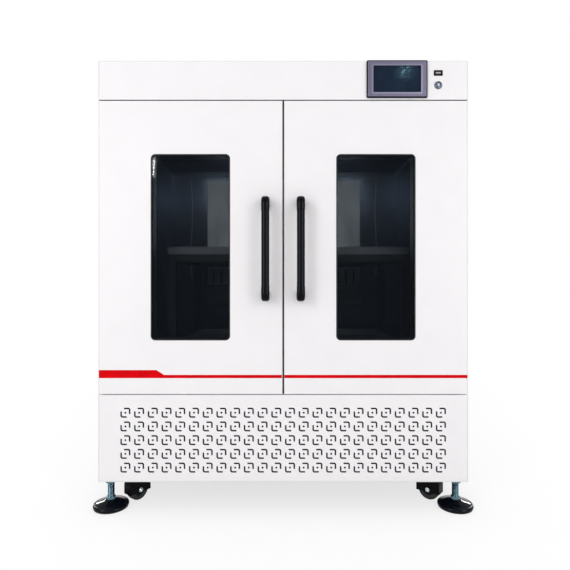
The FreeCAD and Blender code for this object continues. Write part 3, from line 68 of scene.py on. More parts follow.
def maths(tree, operation, *values):
    """What a maths operation makes of values in a node tree."""
    made = tree.nodes.new("ShaderNodeMath")
    made.operation = operation
    for value, socket in zip(values, made.inputs):
        tree.links.new(value, socket)
    return made.outputs[0]


class Look:
    """A Principled material whose colour, roughness and bump can vary over the surface."""

    def __init__(self, name, colour, roughness, **values):
        self.material = bpy.data.materials.new(name)
        self.material.use_nodes = True
        self.tree = self.material.node_tree
        self.shader = self.tree.nodes["Principled BSDF"]
        self.shader.inputs["Base Color"].default_value = (*colour, 1)
        self.shader.inputs["Roughness"].default_value = roughness
        for socket, value in values.items():
            self.shader.inputs[socket.replace("_", " ")].default_value = value
        self.colour, self.roughness = colour, roughness
        self.place = self.tree.nodes.new("ShaderNodeTexCoord").outputs["Object"]

    def link(self, source, socket):
        self.tree.links.new(source, socket)

    def texture(self, kind, scales, **values):
        """The outputs of a texture laid over the surface with a scale along each axis."""
        mapping = self.tree.nodes.new("ShaderNodeMapping")
        mapping.inputs["Scale"].default_value = scales
        made = self.tree.nodes.new(kind)
        for socket, value in {"Scale": 1, **values}.items():
            made.inputs[socket].default_value = value
        self.link(self.place, mapping.inputs["Vector"])
        self.link(mapping.outputs["Vector"], made.inputs["Vector"])
        return made.outputs

    def noise(self, size, detail=3, stretch=(1, 1, 1)):
        """Noise with grains of about that size; along an axis they are stretched by a factor."""
        scales = [1 / (size * factor) for factor in stretch]
        return self.texture("ShaderNodeTexNoise", scales, Detail=detail)["Fac"]

    def cells(self, size):
        """The distance to the nearest of many scattered points."""
        return self.texture("ShaderNodeTexVoronoi", [1 / size] * 3)["Distance"]

    def inside(self, limits, fade):
        """1 inside a box and 0 outside, fading over a length; limits are (axis, low, high)."""
        axes = self.tree.nodes.new("ShaderNodeSeparateXYZ")
        self.link(self.place, axes.inputs[0])
        within = None
        for axis, low, high in limits:
            for limit, ends in ((low, (0, 1)), (high, (1, 0))):
                near = self.spread(axes.outputs[axis], *ends, (limit - fade / 2, limit + fade / 2))
                within = maths(self.tree, "MINIMUM", within, near) if within else near
        return within

    def spread(self, value, low, high, ends=(0.3, 0.7)):
        """A value carried from its usual ends to a range."""
        ranged = self.tree.nodes.new("ShaderNodeMapRange")
        for socket, number in zip(("From Min", "From Max", "To Min", "To Max"), (*ends, low, high)):
            ranged.inputs[socket].default_value = number
        self.link(value, ranged.inputs["Value"])
        return ranged.outputs["Result"]

    def tint(self, value, depth, other=None):
        """Blend the colour that it has towards another, or a darker one, by up to depth."""
        mix = self.tree.nodes.new("ShaderNodeMix")
        mix.data_type = "RGBA"
        mix.inputs["A"].default_value = (*self.colour, 1)
        base = self.shader.inputs["Base Color"]
        if base.is_linked:
            self.link(base.links[0].from_socket, mix.inputs["A"])
        other = other or [part * (1 - depth) for part in self.colour]
        mix.inputs["B"].default_value = (*other, 1)
        self.link(self.spread(value, 0, 1), mix.inputs["Factor"])
        self.link(mix.outputs["Result"], base)
        return self

    def uneven(self, value, amount):
        """Let the roughness move by an amount either way."""
        low, high = max(self.roughness - amount, 0.02), self.roughness + amount
        self.link(self.spread(value, low, high), self.shader.inputs["Roughness"])
        return self

    def bumps(self, *layers):
        """Stack bump layers; each is a value and its depth in metres."""
        normal = None
        for value, depth in layers:
            bump = self.tree.nodes.new("ShaderNodeBump")
            bump.inputs["Distance"].default_value = depth
            self.link(value, bump.inputs["Height"])
            if normal:
                self.link(normal, bump.inputs["Normal"])
            normal = bump.outputs["Normal"]
        self.link(normal, self.shader.inputs["Normal"])
        return self


# Painted shade on the outer front edges of the cabinet: a band this wide and this deep behind the
# door front, greyed to this share of the colour.
EDGE_WIDTH = 4 * MM
EDGE_DEPTH = 10 * MM
EDGE_PAINTED_SHADE = 0.86


def powder_coat(name, colour, roughness=0.42, painted_shade_zone=None):
    """Baked powder paint, with painted shade greying the outer front edges; inside a zone it can be
    painted near black as shade.
    """
    look = Look(name, colour, roughness, Specular_IOR_Level=0.22)
    peel, waves = look.noise(1.6 * MM, 2), look.noise(160 * MM, 1)
    look.tint(look.noise(90 * MM, 2), 0.02).uneven(look.noise(7 * MM), 0.05)
    low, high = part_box("base_grille")[0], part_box("header_panel")[1]
    face = look.inside([(0, low.x + EDGE_WIDTH, high.x - EDGE_WIDTH),
                        (2, low.z + EDGE_WIDTH, high.z - EDGE_WIDTH)], 3 * MM)
    behind = look.inside([(1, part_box("left_door_skin")[0].y + EDGE_DEPTH, 1)], EDGE_WIDTH)
    # The outer front edges are greyed here as painted shade.
    edge = look.spread(maths(look.tree, "MAXIMUM", face, behind), 1, 0, (0, 1))
    look.tint(edge, 0, [part * EDGE_PAINTED_SHADE for part in colour])
    # Painted shade: inside the zone the paint turns near black, as the shade in the vent recesses.
    if painted_shade_zone:
        look.tint(look.inside(painted_shade_zone, SKIN_LIFT), 0, (0.01, 0.012, 0.015))
    return look.bumps((peel, 0.03 * MM), (waves, 0.25 * MM)).material


def brushed(name, colour, roughness, along, grain=0.5 * MM):
    """Metal ground in one direction, with long fine scratches and faint handling marks."""
    look = Look(name, colour, roughness, Metallic=1)
    lines = look.noise(grain, 4, [60 if axis == along else 1 for axis in "xyz"])
    look.tint(lines, 0.22).uneven(look.noise(90 * MM, 2), 0.04)
    return look.bumps((lines, 0.012 * MM)).material


def rough_metal(name, colour, roughness, grain=2.5 * MM, depth=0.03 * MM, tint=0.18):
    """Turned, plated or cast metal with a cloudy grain."""
    look = Look(name, colour, roughness, Metallic=1)
    look.tint(look.noise(grain * 4, 4), tint).uneven(look.noise(grain * 2), 0.08)
    return look.bumps((look.noise(grain, 3), depth)).material


def zinc_plate(name, colour, other, roughness=0.24):
    """Passivated zinc with a crystalline flicker between two colours."""
    look = Look(name, colour, roughness, Metallic=1)
    flakes = look.cells(3 * MM)
    look.tint(look.noise(9 * MM, 2), 0, other).uneven(flakes, 0.08)
    return look.bumps((flakes, 0.008 * MM)).material


def moulded(name, colour, roughness, sheen, grain=0.9 * MM, depth=0.01 * MM):
    """Moulded plastic or lacquer with a very fine texture and soft smears."""
    look = Look(name, colour, roughness, Specular_IOR_Level=sheen)
    look.tint(look.noise(30 * MM, 2), 0.2).uneven(look.noise(14 * MM, 3), 0.06)
    return look.bumps((look.noise(grain, 2), depth)).material


def rubber(name, colour, roughness=0.75):
    """Dull rubber with a little bloom."""
    look = Look(name, colour, roughness, Specular_IOR_Level=0.25)
    bloom = [part + 0.03 for part in colour]
    look.tint(look.noise(18 * MM, 4), 0, bloom).uneven(look.noise(5 * MM), 0.08)
    return look.bumps((look.noise(0.7 * MM, 2), 0.02 * MM)).material


def smudged(name, colour, roughness):
    """A coated sheet with wiped smudges."""
    look = Look(name, colour, roughness, Specular_IOR_Level=0.2)
    look.tint(look.noise(70 * MM, 5, (1, 1, 2)), 0.32).uneven(look.noise(30 * MM, 3), 0.08)
    return look.bumps((look.noise(1.6 * MM, 2), 0.02 * MM)).material


def cut_foam(name, colour, roughness):
    """Cut rigid foam with open cells."""
    look = Look(name, colour, roughness)
    cell = look.cells(1.5 * MM)
    return look.tint(look.noise(25 * MM, 4), 0.2).bumps((cell, 0.25 * MM)).material


def tinted_glass(name, colour, alpha, roughness, sheen):
    """Glass that darkens what is behind it, with faint wiping marks."""
    look = Look(name, colour, roughness, Alpha=alpha, Specular_IOR_Level=sheen)
    smears = look.noise(60 * MM, 4, (1, 1, 2.5))
    return look.uneven(smears, 0.03).bumps((look.noise(220 * MM, 1), 0.15 * MM)).material


def behind_vents():
    """The sheet behind the face of the base panel, apart from its folded edges, where the vent
    recesses are painted near black as shade.
    """
    low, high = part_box("base_grille")
    inset, sheet = 20 * MM, 2 * MM
    return [(0, low.x + inset, high.x - inset), (1, low.y + SKIN_LIFT, low.y + sheet),
            (2, low.z + inset, high.z - inset)]


BODY_COLOUR = (0.955, 0.935, 0.948)
# The chamber steel is far darker and bluer than real stainless, as painted shade inside the closed
# chamber; its brushed grain is real.
SHADED_CHAMBER_STEEL = brushed("chamber_steel", (0.14, 0.18, 0.24), 0.34, "z")
HINGE_STEEL = zinc_plate("hinge_steel", (0.62, 0.63, 0.64), (0.5, 0.62, 0.68))
# The zinc is far darker and bluer than real plating, as painted shade for the dark surroundings
# that it would reflect.
SHADED_ZINC = zinc_plate("nut_zinc", (0.13, 0.2, 0.235), (0.08, 0.17, 0.21), 0.2)
BEZEL_EDGE = rough_metal("bezel_edge", (0.2, 0.19, 0.26), 0.45, 2 * MM, 0.002 * MM, 0.06)
DARK_ANODISED = moulded("dark_anodised", (0.004, 0.004, 0.01), 0.3, 0.04, 1 * MM)
CHROME = rough_metal("ring_chrome", (0.15, 0.155, 0.185), 0.15, 4 * MM, 0.004 * MM, 0.06)
BUTTON_METAL = brushed("button_metal", (0.5, 0.54, 0.66), 0.26, "x", 0.35 * MM)
NICKEL = rough_metal("socket_nickel", (0.62, 0.6, 0.57), 0.25, 1 * MM, 0.005 * MM)
BRASS = rough_metal("pin_brass", (0.72, 0.6, 0.36), 0.28, 1 * MM, 0.005 * MM)
SPACER_METAL = rough_metal("spacer_metal", (0.32, 0.36, 0.4), 0.35, 2 * MM, 0.01 * MM)
BLACK_PLASTIC = moulded("socket_plastic", (0.004, 0.004, 0.006), 0.35, 0.1)
# A near black sheet with a fleecy grain, put behind vents as painted shade.
SHADE_SHEET_LOOK = moulded("shade_sheet_black", (0.006, 0.008, 0.011), 0.8, 0.05, 3 * MM, 0.4 * MM)
INLET_PLASTIC = moulded("inlet_plastic", (0.018, 0.018, 0.019), 0.5, 0.4, 0.6 * MM, 0.03 * MM)
TONGUE_PLASTIC = moulded("tongue_plastic", (0.66, 0.58, 0.5), 0.45, 0.4)
HANDLE_TUBE = moulded("handle_tube", (0.006, 0.006, 0.011), 0.12, 0.05)
HANDLE_PLASTIC = moulded("handle_plastic", (0.004, 0.004, 0.007), 0.14, 0.06)
PAD_LACQUER = moulded("foot_black", (0.004, 0.006, 0.01), 0.1, 0.08, 1.5 * MM, 0.004 * MM)
CASTER_METAL = moulded("caster_metal", (0.004, 0.004, 0.005), 0.35, 0.05, 1 * MM, 0.02 * MM)
WHEEL_PLASTIC = moulded("wheel_plastic", (0.006, 0.006, 0.006), 0.4, 0.15)
TYRE_RUBBER = rubber("tyre_rubber", (0.012, 0.012, 0.012))
SEAL_RUBBER = rubber("seal_rubber", (0.004, 0.006, 0.007), 0.6)
GASKET_RUBBER = rubber("gasket_rubber", (0.5, 0.5, 0.51), 0.6)
# A pale bead colour that paints a bright reflected line on the back wall, as a painted highlight.
HIGHLIGHT_BEAD = moulded("highlight_bead_pale", (0.75, 0.78, 0.8), 0.45, 0.2)
OUTER_PANE = tinted_glass("window_glass", (0.0015, 0.003, 0.006), 0.53, 0.03, 0.07)
INNER_PANE = tinted_glass("inner_pane_glass", (0.2, 0.25, 0.27), 0.03, 0.02, 0.1)
DISPLAY_MASK = moulded("display_mask", (0.006, 0.012, 0.02), 0.14, 0.05)
STRIPE_FILM = moulded("stripe_film", (0.8, 0.001, 0.005), 0.4, 0.03, 1.2 * MM, 0.008 * MM)

# The nodes that are shown as they are
NODE_LOOKS = (
    (powder_coat("body_paint", BODY_COLOUR),
     "outer_wrap rear_panel header_panel front_frame left_door_skin right_door_skin"),
    # The vent recesses of the base panel are painted near black as shade.
    (powder_coat("vent_paint", BODY_COLOUR, painted_shade_zone=behind_vents()), "base_grille"),
    (powder_coat("frame_paint", (0.02, 0.02, 0.023), 0.5), "base_frame"),
    (powder_coat("deck_paint", (0.025, 0.025, 0.028), 0.55), "drive_deck"),
    (powder_coat("motor_paint", (0.05, 0.055, 0.06), 0.4), "fan_motors drive_motor"),
    (powder_coat("compressor_paint", (0.012, 0.012, 0.014), 0.3), "compressor"),
    (SHADED_CHAMBER_STEEL, "inner_liner"),
    (brushed("door_steel", (0.42, 0.45, 0.49), 0.36, "z"), "left_door_liner right_door_liner"),
    (smudged("duct_paint", (0.76, 0.85, 0.9), 0.6), "duct_cover"),
    (brushed("tray_steel", (0.56, 0.62, 0.68), 0.34, "x"), "lower_tray upper_tray"),
    # The platform frame is darkened to near black as painted shade under the trays.
    (brushed("platform_metal", (0.1, 0.11, 0.125), 0.42, "x", 0.8 * MM), "platform_frame"),
    (rough_metal("heater_metal", (0.3, 0.26, 0.23), 0.38), "heater_coil"),
    (rough_metal("fan_aluminium", (0.7, 0.71, 0.73), 0.4),
     "circulation_fan_left circulation_fan_right"),
    (rough_metal("drive_steel", (0.5, 0.5, 0.51), 0.28, 1.2 * MM, 0.01 * MM),
     "main_crank idler_crank_left idler_crank_right"),
    (rough_metal("drive_iron", (0.25, 0.26, 0.28), 0.6, 3 * MM, 0.15 * MM), "crank_housings"),
    (rough_metal("pulley_metal", (0.62, 0.63, 0.64), 0.3, 1 * MM, 0.01 * MM), "motor_pulley"),
    (rubber("belt_rubber", (0.015, 0.015, 0.015)), "drive_belt"),
    (HINGE_STEEL, "hinge_brackets"),
    (brushed("bezel_metal", (0.16, 0.146, 0.21), 0.4, "z", 1.2 * MM), "screen_housing"),
    (moulded("display", (0.009, 0.019, 0.04), 0.1, 0.06, 30 * MM, 0.004 * MM), "screen_glass"),
    (cut_foam("foam", (0.82, 0.72, 0.45), 0.95), "insulation_foam left_door_foam right_door_foam"),
    (SEAL_RUBBER, "left_window_seal right_window_seal"),
    (CASTER_METAL, "caster_plates caster_fork_left caster_fork_right"),
    (moulded("brake_plastic", (0.015, 0.015, 0.016), 0.35, 0.3),
     "caster_brake_left caster_brake_right"),
)


def dress_nodes():
    """Give each node that is shown as it is its material."""
    for look, names in NODE_LOOKS:
        for name in names.split():
            item = frame["nodes"][name]
            if not item.material_slots:
                item.data.materials.append(look)
            for held in item.material_slots:
                held.material = look


# Shapes

def placed(name, data):
    """A new object in the scene."""
    item = bpy.data.objects.new(name, data)
    bpy.context.scene.collection.objects.link(item)
    return item


def piece_from(made, name, look, body, smooth=35):
    """Turn a bmesh into a named piece with its material and body."""
    bmesh.ops.recalc_face_normals(made, faces=made.faces)
    mesh = bpy.data.meshes.new(name)
    made.to_mesh(mesh)
    made.free()
    mesh.shade_smooth()
    mesh.set_sharp_from_angle(angle=math.radians(smooth))
    mesh.materials.append(look)
    item = placed(name, mesh)
    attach(item, body)
    return item


def add_rings(made, rings, joined=False, place=None):
    """Faces between closed rings of points, capped at both ends or joined last to first."""
    rows = [[made.verts.new(point) for point in ring] for ring in rings]
    pairs = list(zip(rows, rows[1:]))
    if joined:
        pairs.append((rows[-1], rows[0]))
    count = len(rows[0])
    for one, other in pairs:
        for here in range(count):
            after = (here + 1) % count
            made.faces.new((one[here], one[after], other[after], other[here]))
    if not joined:
        made.faces.new(reversed(rows[0]))
        made.faces.new(rows[-1])
    if place:
        bmesh.ops.transform(made, matrix=place, verts=[point for row in rows for point in row])


def ring_piece(name, rings, look, body, slot, smooth=35, **how):
    """A piece of one set of rings."""
    made = bmesh.new()
    add_rings(made, rings, **how)
    return piece_from(made, name, look, body, smooth)


def rounded(x, z, radius, steps=8):
    """Points round a rectangle with rounded corners, in the plane of the front."""
    points = []
    corners = ((x[1], z[1]), (x[0], z[1]), (x[0], z[0]), (x[1], z[0]))
    for turn, (far_x, far_z) in enumerate(corners):
        side_x = 1 if turn in (0, 3) else -1
        side_z = 1 if turn in (0, 1) else -1
        for step in range(steps + 1):
            angle = QUARTER * (turn + step / steps)
            points.append((far_x - side_x * radius + radius * math.cos(angle),
                           far_z - side_z * radius + radius * math.sin(angle)))
    return points


def panel_rings(x, z, radius, sections):
    """Rings round a rounded rectangle; a section is its y and how far it is drawn in."""
    rings = []
    for y, inset in sections:
        outline = rounded((x[0] + inset, x[1] - inset), (z[0] + inset, z[1] - inset),
                          max(radius - inset, 0.05 * MM))
        rings.append([(px, y, pz) for px, pz in outline])
    return rings


def panel(name, x, z, radius, sections, look, body, slot, joined=False):
    """A slab in the plane of the front, with its edges shaped by the sections."""
    return ring_piece(name, panel_rings(x, z, radius, sections), look, body, slot, joined=joined)


def surround(*values):
    """A frame in the plane of the front; the sections go once round its profile."""
    return panel(*values, joined=True)


def ring_at(level, reaches):
    """A ring about the Z axis with a radius for each of its even steps."""
    angles = [TURN * step / len(reaches) for step in range(len(reaches))]
    return [(reach * math.cos(angle), reach * math.sin(angle), level)
            for reach, angle in zip(reaches, angles)]


def lathe_rings(profile, steps=64):
    """Rings about the Z axis from (radius, height) points."""
    return [ring_at(height, [max(radius, 0.02 * MM)] * steps) for radius, height in profile]


def lathe(name, profile, place, look, body, slot, steps=64, joined=False):
    """A turned piece; place carries its own Z axis to where it belongs."""
    return ring_piece(name, lathe_rings(profile, steps), look, body, slot, joined=joined,
                      place=place)


def lean(share, corners):
    """The angle from a share of a turn to the nearest middle of a side of a regular shape."""
    sector = TURN / corners
    return (TURN * share + sector / 2) % sector - sector / 2


def mirrored(profile, sum_of_both=0):
    """A profile and its mirror image; the second values of a point and its image have a sum."""
    return profile + [(first, sum_of_both - second) for first, second in reversed(profile)]


def fillet(centre, radius, start, end, steps=5):
    """Points on an arc of a profile, with angles in quarter turns."""
    angles = [QUARTER * (start + (end - start) * step / steps) for step in range(steps + 1)]
    return [(centre[0] + radius * math.cos(angle), centre[1] + radius * math.sin(angle))
            for angle in angles]


def tube_rings(points, radius, side, count=40):
    """Rings along a path that lies in a plane; side is the direction square to that plane."""
    rings = []
    for here, point in enumerate(points):
        ahead = points[min(here + 1, len(points) - 1)]
        behind = points[max(here - 1, 0)]
        across = (ahead - behind).normalized().cross(side).normalized()
        rings.append([point + radius * (math.cos(angle) * side + math.sin(angle) * across)
                      for angle in (TURN * step / count for step in range(count))])
    return rings


def spaced(start, end, count):
    """Places at even steps, both ends included."""
    return [start + (end - start) * step / (count - 1) for step in range(count)]


def about(centre, width):
    """The two ends of a width about a centre."""
    return centre - width / 2, centre + width / 2


def face_of(node, inset=0):
    """A node's limits in x and in z, drawn in by a length."""
    low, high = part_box(node)
    return (low.x + inset, high.x - inset), (low.z + inset, high.z - inset)


def centre_of(node):
    """The middle of a node's box."""
    low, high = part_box(node)
    return (low + high) / 2


def facing(end, x, y, z):
    """Carries a piece's own Z axis to the front or the back, at a place."""
    quarter = {"front": QUARTER, "back": -QUARTER}[end]
    return Matrix.Translation((x, y, z)) @ Matrix.Rotation(quarter, 4, "X")


# Fasteners

def add_screw(made, place, radius):
    """A pan head with a cross recess."""
    height, arm, half_slot, depth = radius * 0.55, radius * 0.62, radius * 0.14, radius * 0.3
    steps = 32

    def cross(level, shrink):
        leans = [abs(math.sin(lean(step / steps, 4))) for step in range(steps)]
        return ring_at(level, [min(arm, half_slot / max(slant, 0.001)) * shrink
                               for slant in leans])

    profile = [(radius, 0), (radius * 0.98, height * 0.35), (radius * 0.86, height * 0.72)]
    add_rings(made, lathe_rings(profile, steps) + [cross(height, 1), cross(height - depth, 0.7)],
              place=place)


def screws(name, places, body, radius=3.6 * MM):
    """Several screws as one piece."""
    made = bmesh.new()
    for place in places:
        add_screw(made, place, radius)
    piece_from(made, name, SHADED_ZINC, body)


# Doors

HANDLE_SLEEVE = 48 * MM
HANDLE_BEND = 26 * MM
HANDLE_INNER_BEND = 6 * MM
HANDLE_LEG = 33 * MM
HANDLE_LEG_ROUND = 8 * MM
HANDLE_STEP = 0.5 * MM


def elbow_ring(x, half_width, outer, inner, radius):
    """A ring with rounded corners between an outer and an inner point, given as (y, z)."""
    middle_y, middle_z = (outer[0] + inner[0]) / 2, (outer[1] + inner[1]) / 2
    reach_y, reach_z = (outer[0] - inner[0]) / 2, (outer[1] - inner[1]) / 2
    half = math.hypot(reach_y, reach_z)
    return [(x + across, middle_y + reach_y * along / half, middle_z + reach_z * along / half)
            for across, along in rounded((-half_width, half_width), (-half, half), radius, 10)]


def handle_elbow(name, x, axis_y, seat_y, end_z, sign, radius, body):
    """From the door the leg turns upright and slims from a square shoulder to a round sleeve."""
    inner_z = end_z - sign * HANDLE_LEG
    almost_round = radius * 0.98
    back = end_z - sign * HANDLE_BEND
    inner_back = inner_z - sign * HANDLE_INNER_BEND
    rings = [elbow_ring(x, radius, (y, end_z), (y, inner_z), HANDLE_LEG_ROUND)
             for y in (seat_y, axis_y + radius + HANDLE_INNER_BEND)]
    steps = 16
    for step in range(steps + 1):
        share = step / steps
        sine, cosine = math.sin(QUARTER * share), math.cos(QUARTER * share)
        outer = (axis_y - radius + HANDLE_BEND * (1 - sine), back + sign * HANDLE_BEND * cosine)
        inner = (axis_y + radius + HANDLE_INNER_BEND * (1 - sine),
                 inner_back + sign * HANDLE_INNER_BEND * cosine)
        corner = HANDLE_LEG_ROUND + (almost_round - HANDLE_LEG_ROUND) * share
        rings.append(elbow_ring(x, radius, outer, inner, corner))
    sleeve_end = end_z - sign * HANDLE_SLEEVE
    for lift, drawn_in in ((3 * MM, 0), (HANDLE_STEP, 0), (HANDLE_STEP / 4, HANDLE_STEP / 2),
                           (0, HANDLE_STEP)):
        level = sleeve_end + sign * lift
        reach = radius - drawn_in
        rings.append(elbow_ring(x, reach, (axis_y - reach, level), (axis_y + reach, level),
                                reach * 0.98))
    ring_piece(name, rings, HANDLE_PLASTIC, body, "handle_plastic")


def handle(hand):
    """The grip tube between two moulded elbows that stand on the door."""
    node, body = f"{hand}_door_handle", f"{hand}_door"
    low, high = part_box(node)
    x, radius = (low.x + high.x) / 2, (high.x - low.x) / 2
    axis_y = low.y + radius
    for end, sign, edge in (("top", 1, high.z), ("bottom", -1, low.z)):
        handle_elbow(f"{hand}_handle_{end}_elbow", x, axis_y, high.y, edge, sign, radius, body)
    inside = HANDLE_SLEEVE - 12 * MM
    path = [Vector((x, axis_y, level)) for level in (low.z + inside, high.z - inside)]
    rings = tube_rings(path, radius - HANDLE_STEP, Vector((1, 0, 0)))
    grip = ring_piece(f"{hand}_handle_grip", rings, HANDLE_TUBE, body, "handle_plastic")
    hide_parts(node)


WINDOW_BORDER = 4 * MM
WINDOW_CORNER = 15 * MM
SEAL_CLEARANCE = 0.3 * MM


def window(hand):
    """Two panes with polished edges, the bead of the seal and the trim between the panes."""
    glass_low, glass_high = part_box(f"{hand}_window_glass")
    bite, pane = 3 * MM, 5 * MM
    corner = WINDOW_CORNER - WINDOW_BORDER + bite
    x, z = face_of(f"{hand}_window_glass")
    body, polish = f"{hand}_door", 0.6 * MM
    for place, y, look in (("outer", glass_low.y, OUTER_PANE),
                           ("inner", glass_high.y - pane, INNER_PANE)):
        sections = [(y, polish), (y + polish, 0), (y + pane - polish, 0), (y + pane, polish)]
        made = panel(f"{hand}_{place}_pane", x, z, corner, sections, look, body, "window_glass")
        if place == "outer":
            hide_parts(f"{hand}_window_glass")

    # The seal's bead stands a little proud of the door round the glass
    cut = face_of(f"{hand}_window_glass", bite - WINDOW_BORDER)
    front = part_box(f"{hand}_door_skin")[0].y
    rise, wide = 0.9 * MM, WINDOW_BORDER - SEAL_CLEARANCE
    arc = [(front - rise * math.sin(QUARTER * step / 4), SEAL_CLEARANCE + wide * step / 8)
           for step in range(5)]
    arc += [(y, SEAL_CLEARANCE * 2 + wide - inset) for y, inset in reversed(arc[:-1])]
    base = front + 0.4 * MM
    sections = [(base, SEAL_CLEARANCE), *arc, (base, SEAL_CLEARANCE + wide)]
    surround(f"{hand}_window_bead", *cut, WINDOW_CORNER, sections, SEAL_RUBBER, body,
             "seal_rubber")

    # A thin metal trim lines the space between the panes
    inset, thickness = bite + 0.1 * MM, 0.8 * MM
    start, end = glass_low.y + pane + 1 * MM, glass_high.y - pane - 1 * MM
    sections = [(start, inset), (end, inset), (end, inset + thickness), (start, inset + thickness)]
    surround(f"{hand}_window_trim", x, z, corner, sections, SPACER_METAL, body, "seal_rubber")


STRIPE_RISE = 51.5 * MM
STRIPE_THIN = 10.4 * MM
STRIPE_THICK = 26 * MM
STRIPE_STEP_START = 187 * MM
STRIPE_STEP_END = 212 * MM
STRIPE_FILM_DEPTH = 0.2 * MM


def stripe(hand):
    """The red film across a door; on the left it starts thick and steps down along a slant."""
    low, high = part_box(f"{hand}_door_skin")
    edge, front = 2 * MM, low.y
    bottom = low.z + STRIPE_RISE
    left, right = low.x + edge, high.x - edge
    corners = [(left, bottom), (right, bottom), (right, bottom + STRIPE_THIN)]
    if hand == "left":
        corners += [(left + STRIPE_STEP_END, bottom + STRIPE_THIN),
                    (left + STRIPE_STEP_START, bottom + STRIPE_THICK),
                    (left, bottom + STRIPE_THICK)]
    else:
        corners.append((left, bottom + STRIPE_THIN))
    rings = [[(x, y, z) for x, z in corners]
             for y in (front + STRIPE_FILM_DEPTH, front - STRIPE_FILM_DEPTH)]
    ring_piece(f"{hand}_door_stripe", rings, STRIPE_FILM, f"{hand}_door", "body_paint")


def edge_strip(hand):
    """The black rubber strip and bead down the edge where the two doors meet."""
    low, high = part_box(f"{hand}_door_skin")
    seam_edge = low.x if hand == "right" else high.x
    side = 1 if hand == "right" else -1
    gap, start, depth, round_off, inset = 0.15 * MM, 1 * MM, 18 * MM, 0.4 * MM, 1 * MM
    z = (low.z + inset, high.z - inset)
    panel(f"{hand}_door_edge_strip", sorted((side * gap, seam_edge)), z, round_off,
          [(low.y + start, round_off), (low.y + start + round_off, 0), (low.y + depth, 0)],
          SEAL_RUBBER, f"{hand}_door", "seal_rubber")
    bead = {"left": 0.3 * MM, "right": 1.6 * MM}[hand]
    proud, rounding = 0.2 * MM, 0.12 * MM
    x = sorted((seam_edge - side * proud, seam_edge + side * bead))
    panel(f"{hand}_door_edge_bead", x, z, rounding,
          [(low.y - proud, rounding), (low.y - proud + rounding, 0), (low.y + start * 2, 0)],
          SEAL_RUBBER, f"{hand}_door", "seal_rubber")


def gasket(hand):
    """The magnetic gasket: a flat magnet strip on a bellows that is clipped to the door."""
    node = f"{hand}_door_gasket"
    low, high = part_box(node)
    depth, width = high.y - low.y, 22 * MM
    # The profile as shares of the gasket's depth and width
    profile_shares = mirrored([(0, 0.16), (0.22, 0.1), (0.4, 0.22), (0.52, 0.06), (0.66, 0.02),
                               (0.74, 0.1), (0.8, 0.04), (0.97, 0.04), (1, 0.1)], 1)
    sections = [(low.y + deep * depth, across * width) for deep, across in profile_shares]
    made = surround(node.replace("gasket", "bellows"), *face_of(node), width / 2, sections,
                    GASKET_RUBBER, f"{hand}_door", "gasket_rubber")
    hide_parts(node)


def liner_screws(hand):
    """The screws that hold the inner sheet of a door."""
    low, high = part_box(f"{hand}_door_liner")
    inset, count = 9 * MM, 6
    places = [facing("back", x, high.y, level) for x in (low.x + inset, high.x - inset)
              for level in spaced(low.z + inset * 2, high.z - inset * 2, count)]
    screws(f"{hand}_liner_screws", places, f"{hand}_door", radius=3 * MM)


# Header controls

def screen():
    """The bezel's dark rim and bright bead, the step down to the glass and the mask on it."""
    face, glass_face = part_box("screen_housing")[0].y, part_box("screen_glass")[0].y
    housing, corner = face_of("screen_housing"), 4 * MM
    lip, width = 0.35 * MM, 3.6 * MM
    sections = [(HEADER_FRONT, -lip), (face + 1 * MM, -lip), (face - lip, lip),
                (face - lip, width - lip), (face + lip, width), (HEADER_FRONT, width)]
    surround("screen_rim", *housing, corner, sections, DARK_ANODISED, "cabinet", "bezel_metal")
    bright, proud, slant = width + 1.6 * MM, 0.2 * MM, 0.3 * MM
    sections = [(face + lip, width), (face - proud, width + slant),
                (face - proud, bright), (face + lip, bright + slant)]
    surround("screen_rim_bead", *housing, corner, sections, BEZEL_EDGE, "cabinet", "bezel_metal")
    step, rise, corner = 5.5 * MM, 0.5 * MM, 0.5 * MM
    sections = [(face + rise, 0), (face - rise, 0), (face - rise, -1.2 * MM),
                (face - 0.1 * MM, -step), (face + rise, -step)]
    surround("screen_step", *face_of("screen_glass"), corner, sections, BEZEL_EDGE,
             "cabinet", "bezel_metal")
    play, mask = 0.3 * MM, 4 * MM
    front, back = glass_face - SKIN_LIFT, glass_face + SKIN_LIFT
    sections = [(back, 0), (front, 0), (front, mask), (back, mask)]
    surround("display_mask", *face_of("screen_glass", -play), corner, sections, DISPLAY_MASK,
             "cabinet", "display")


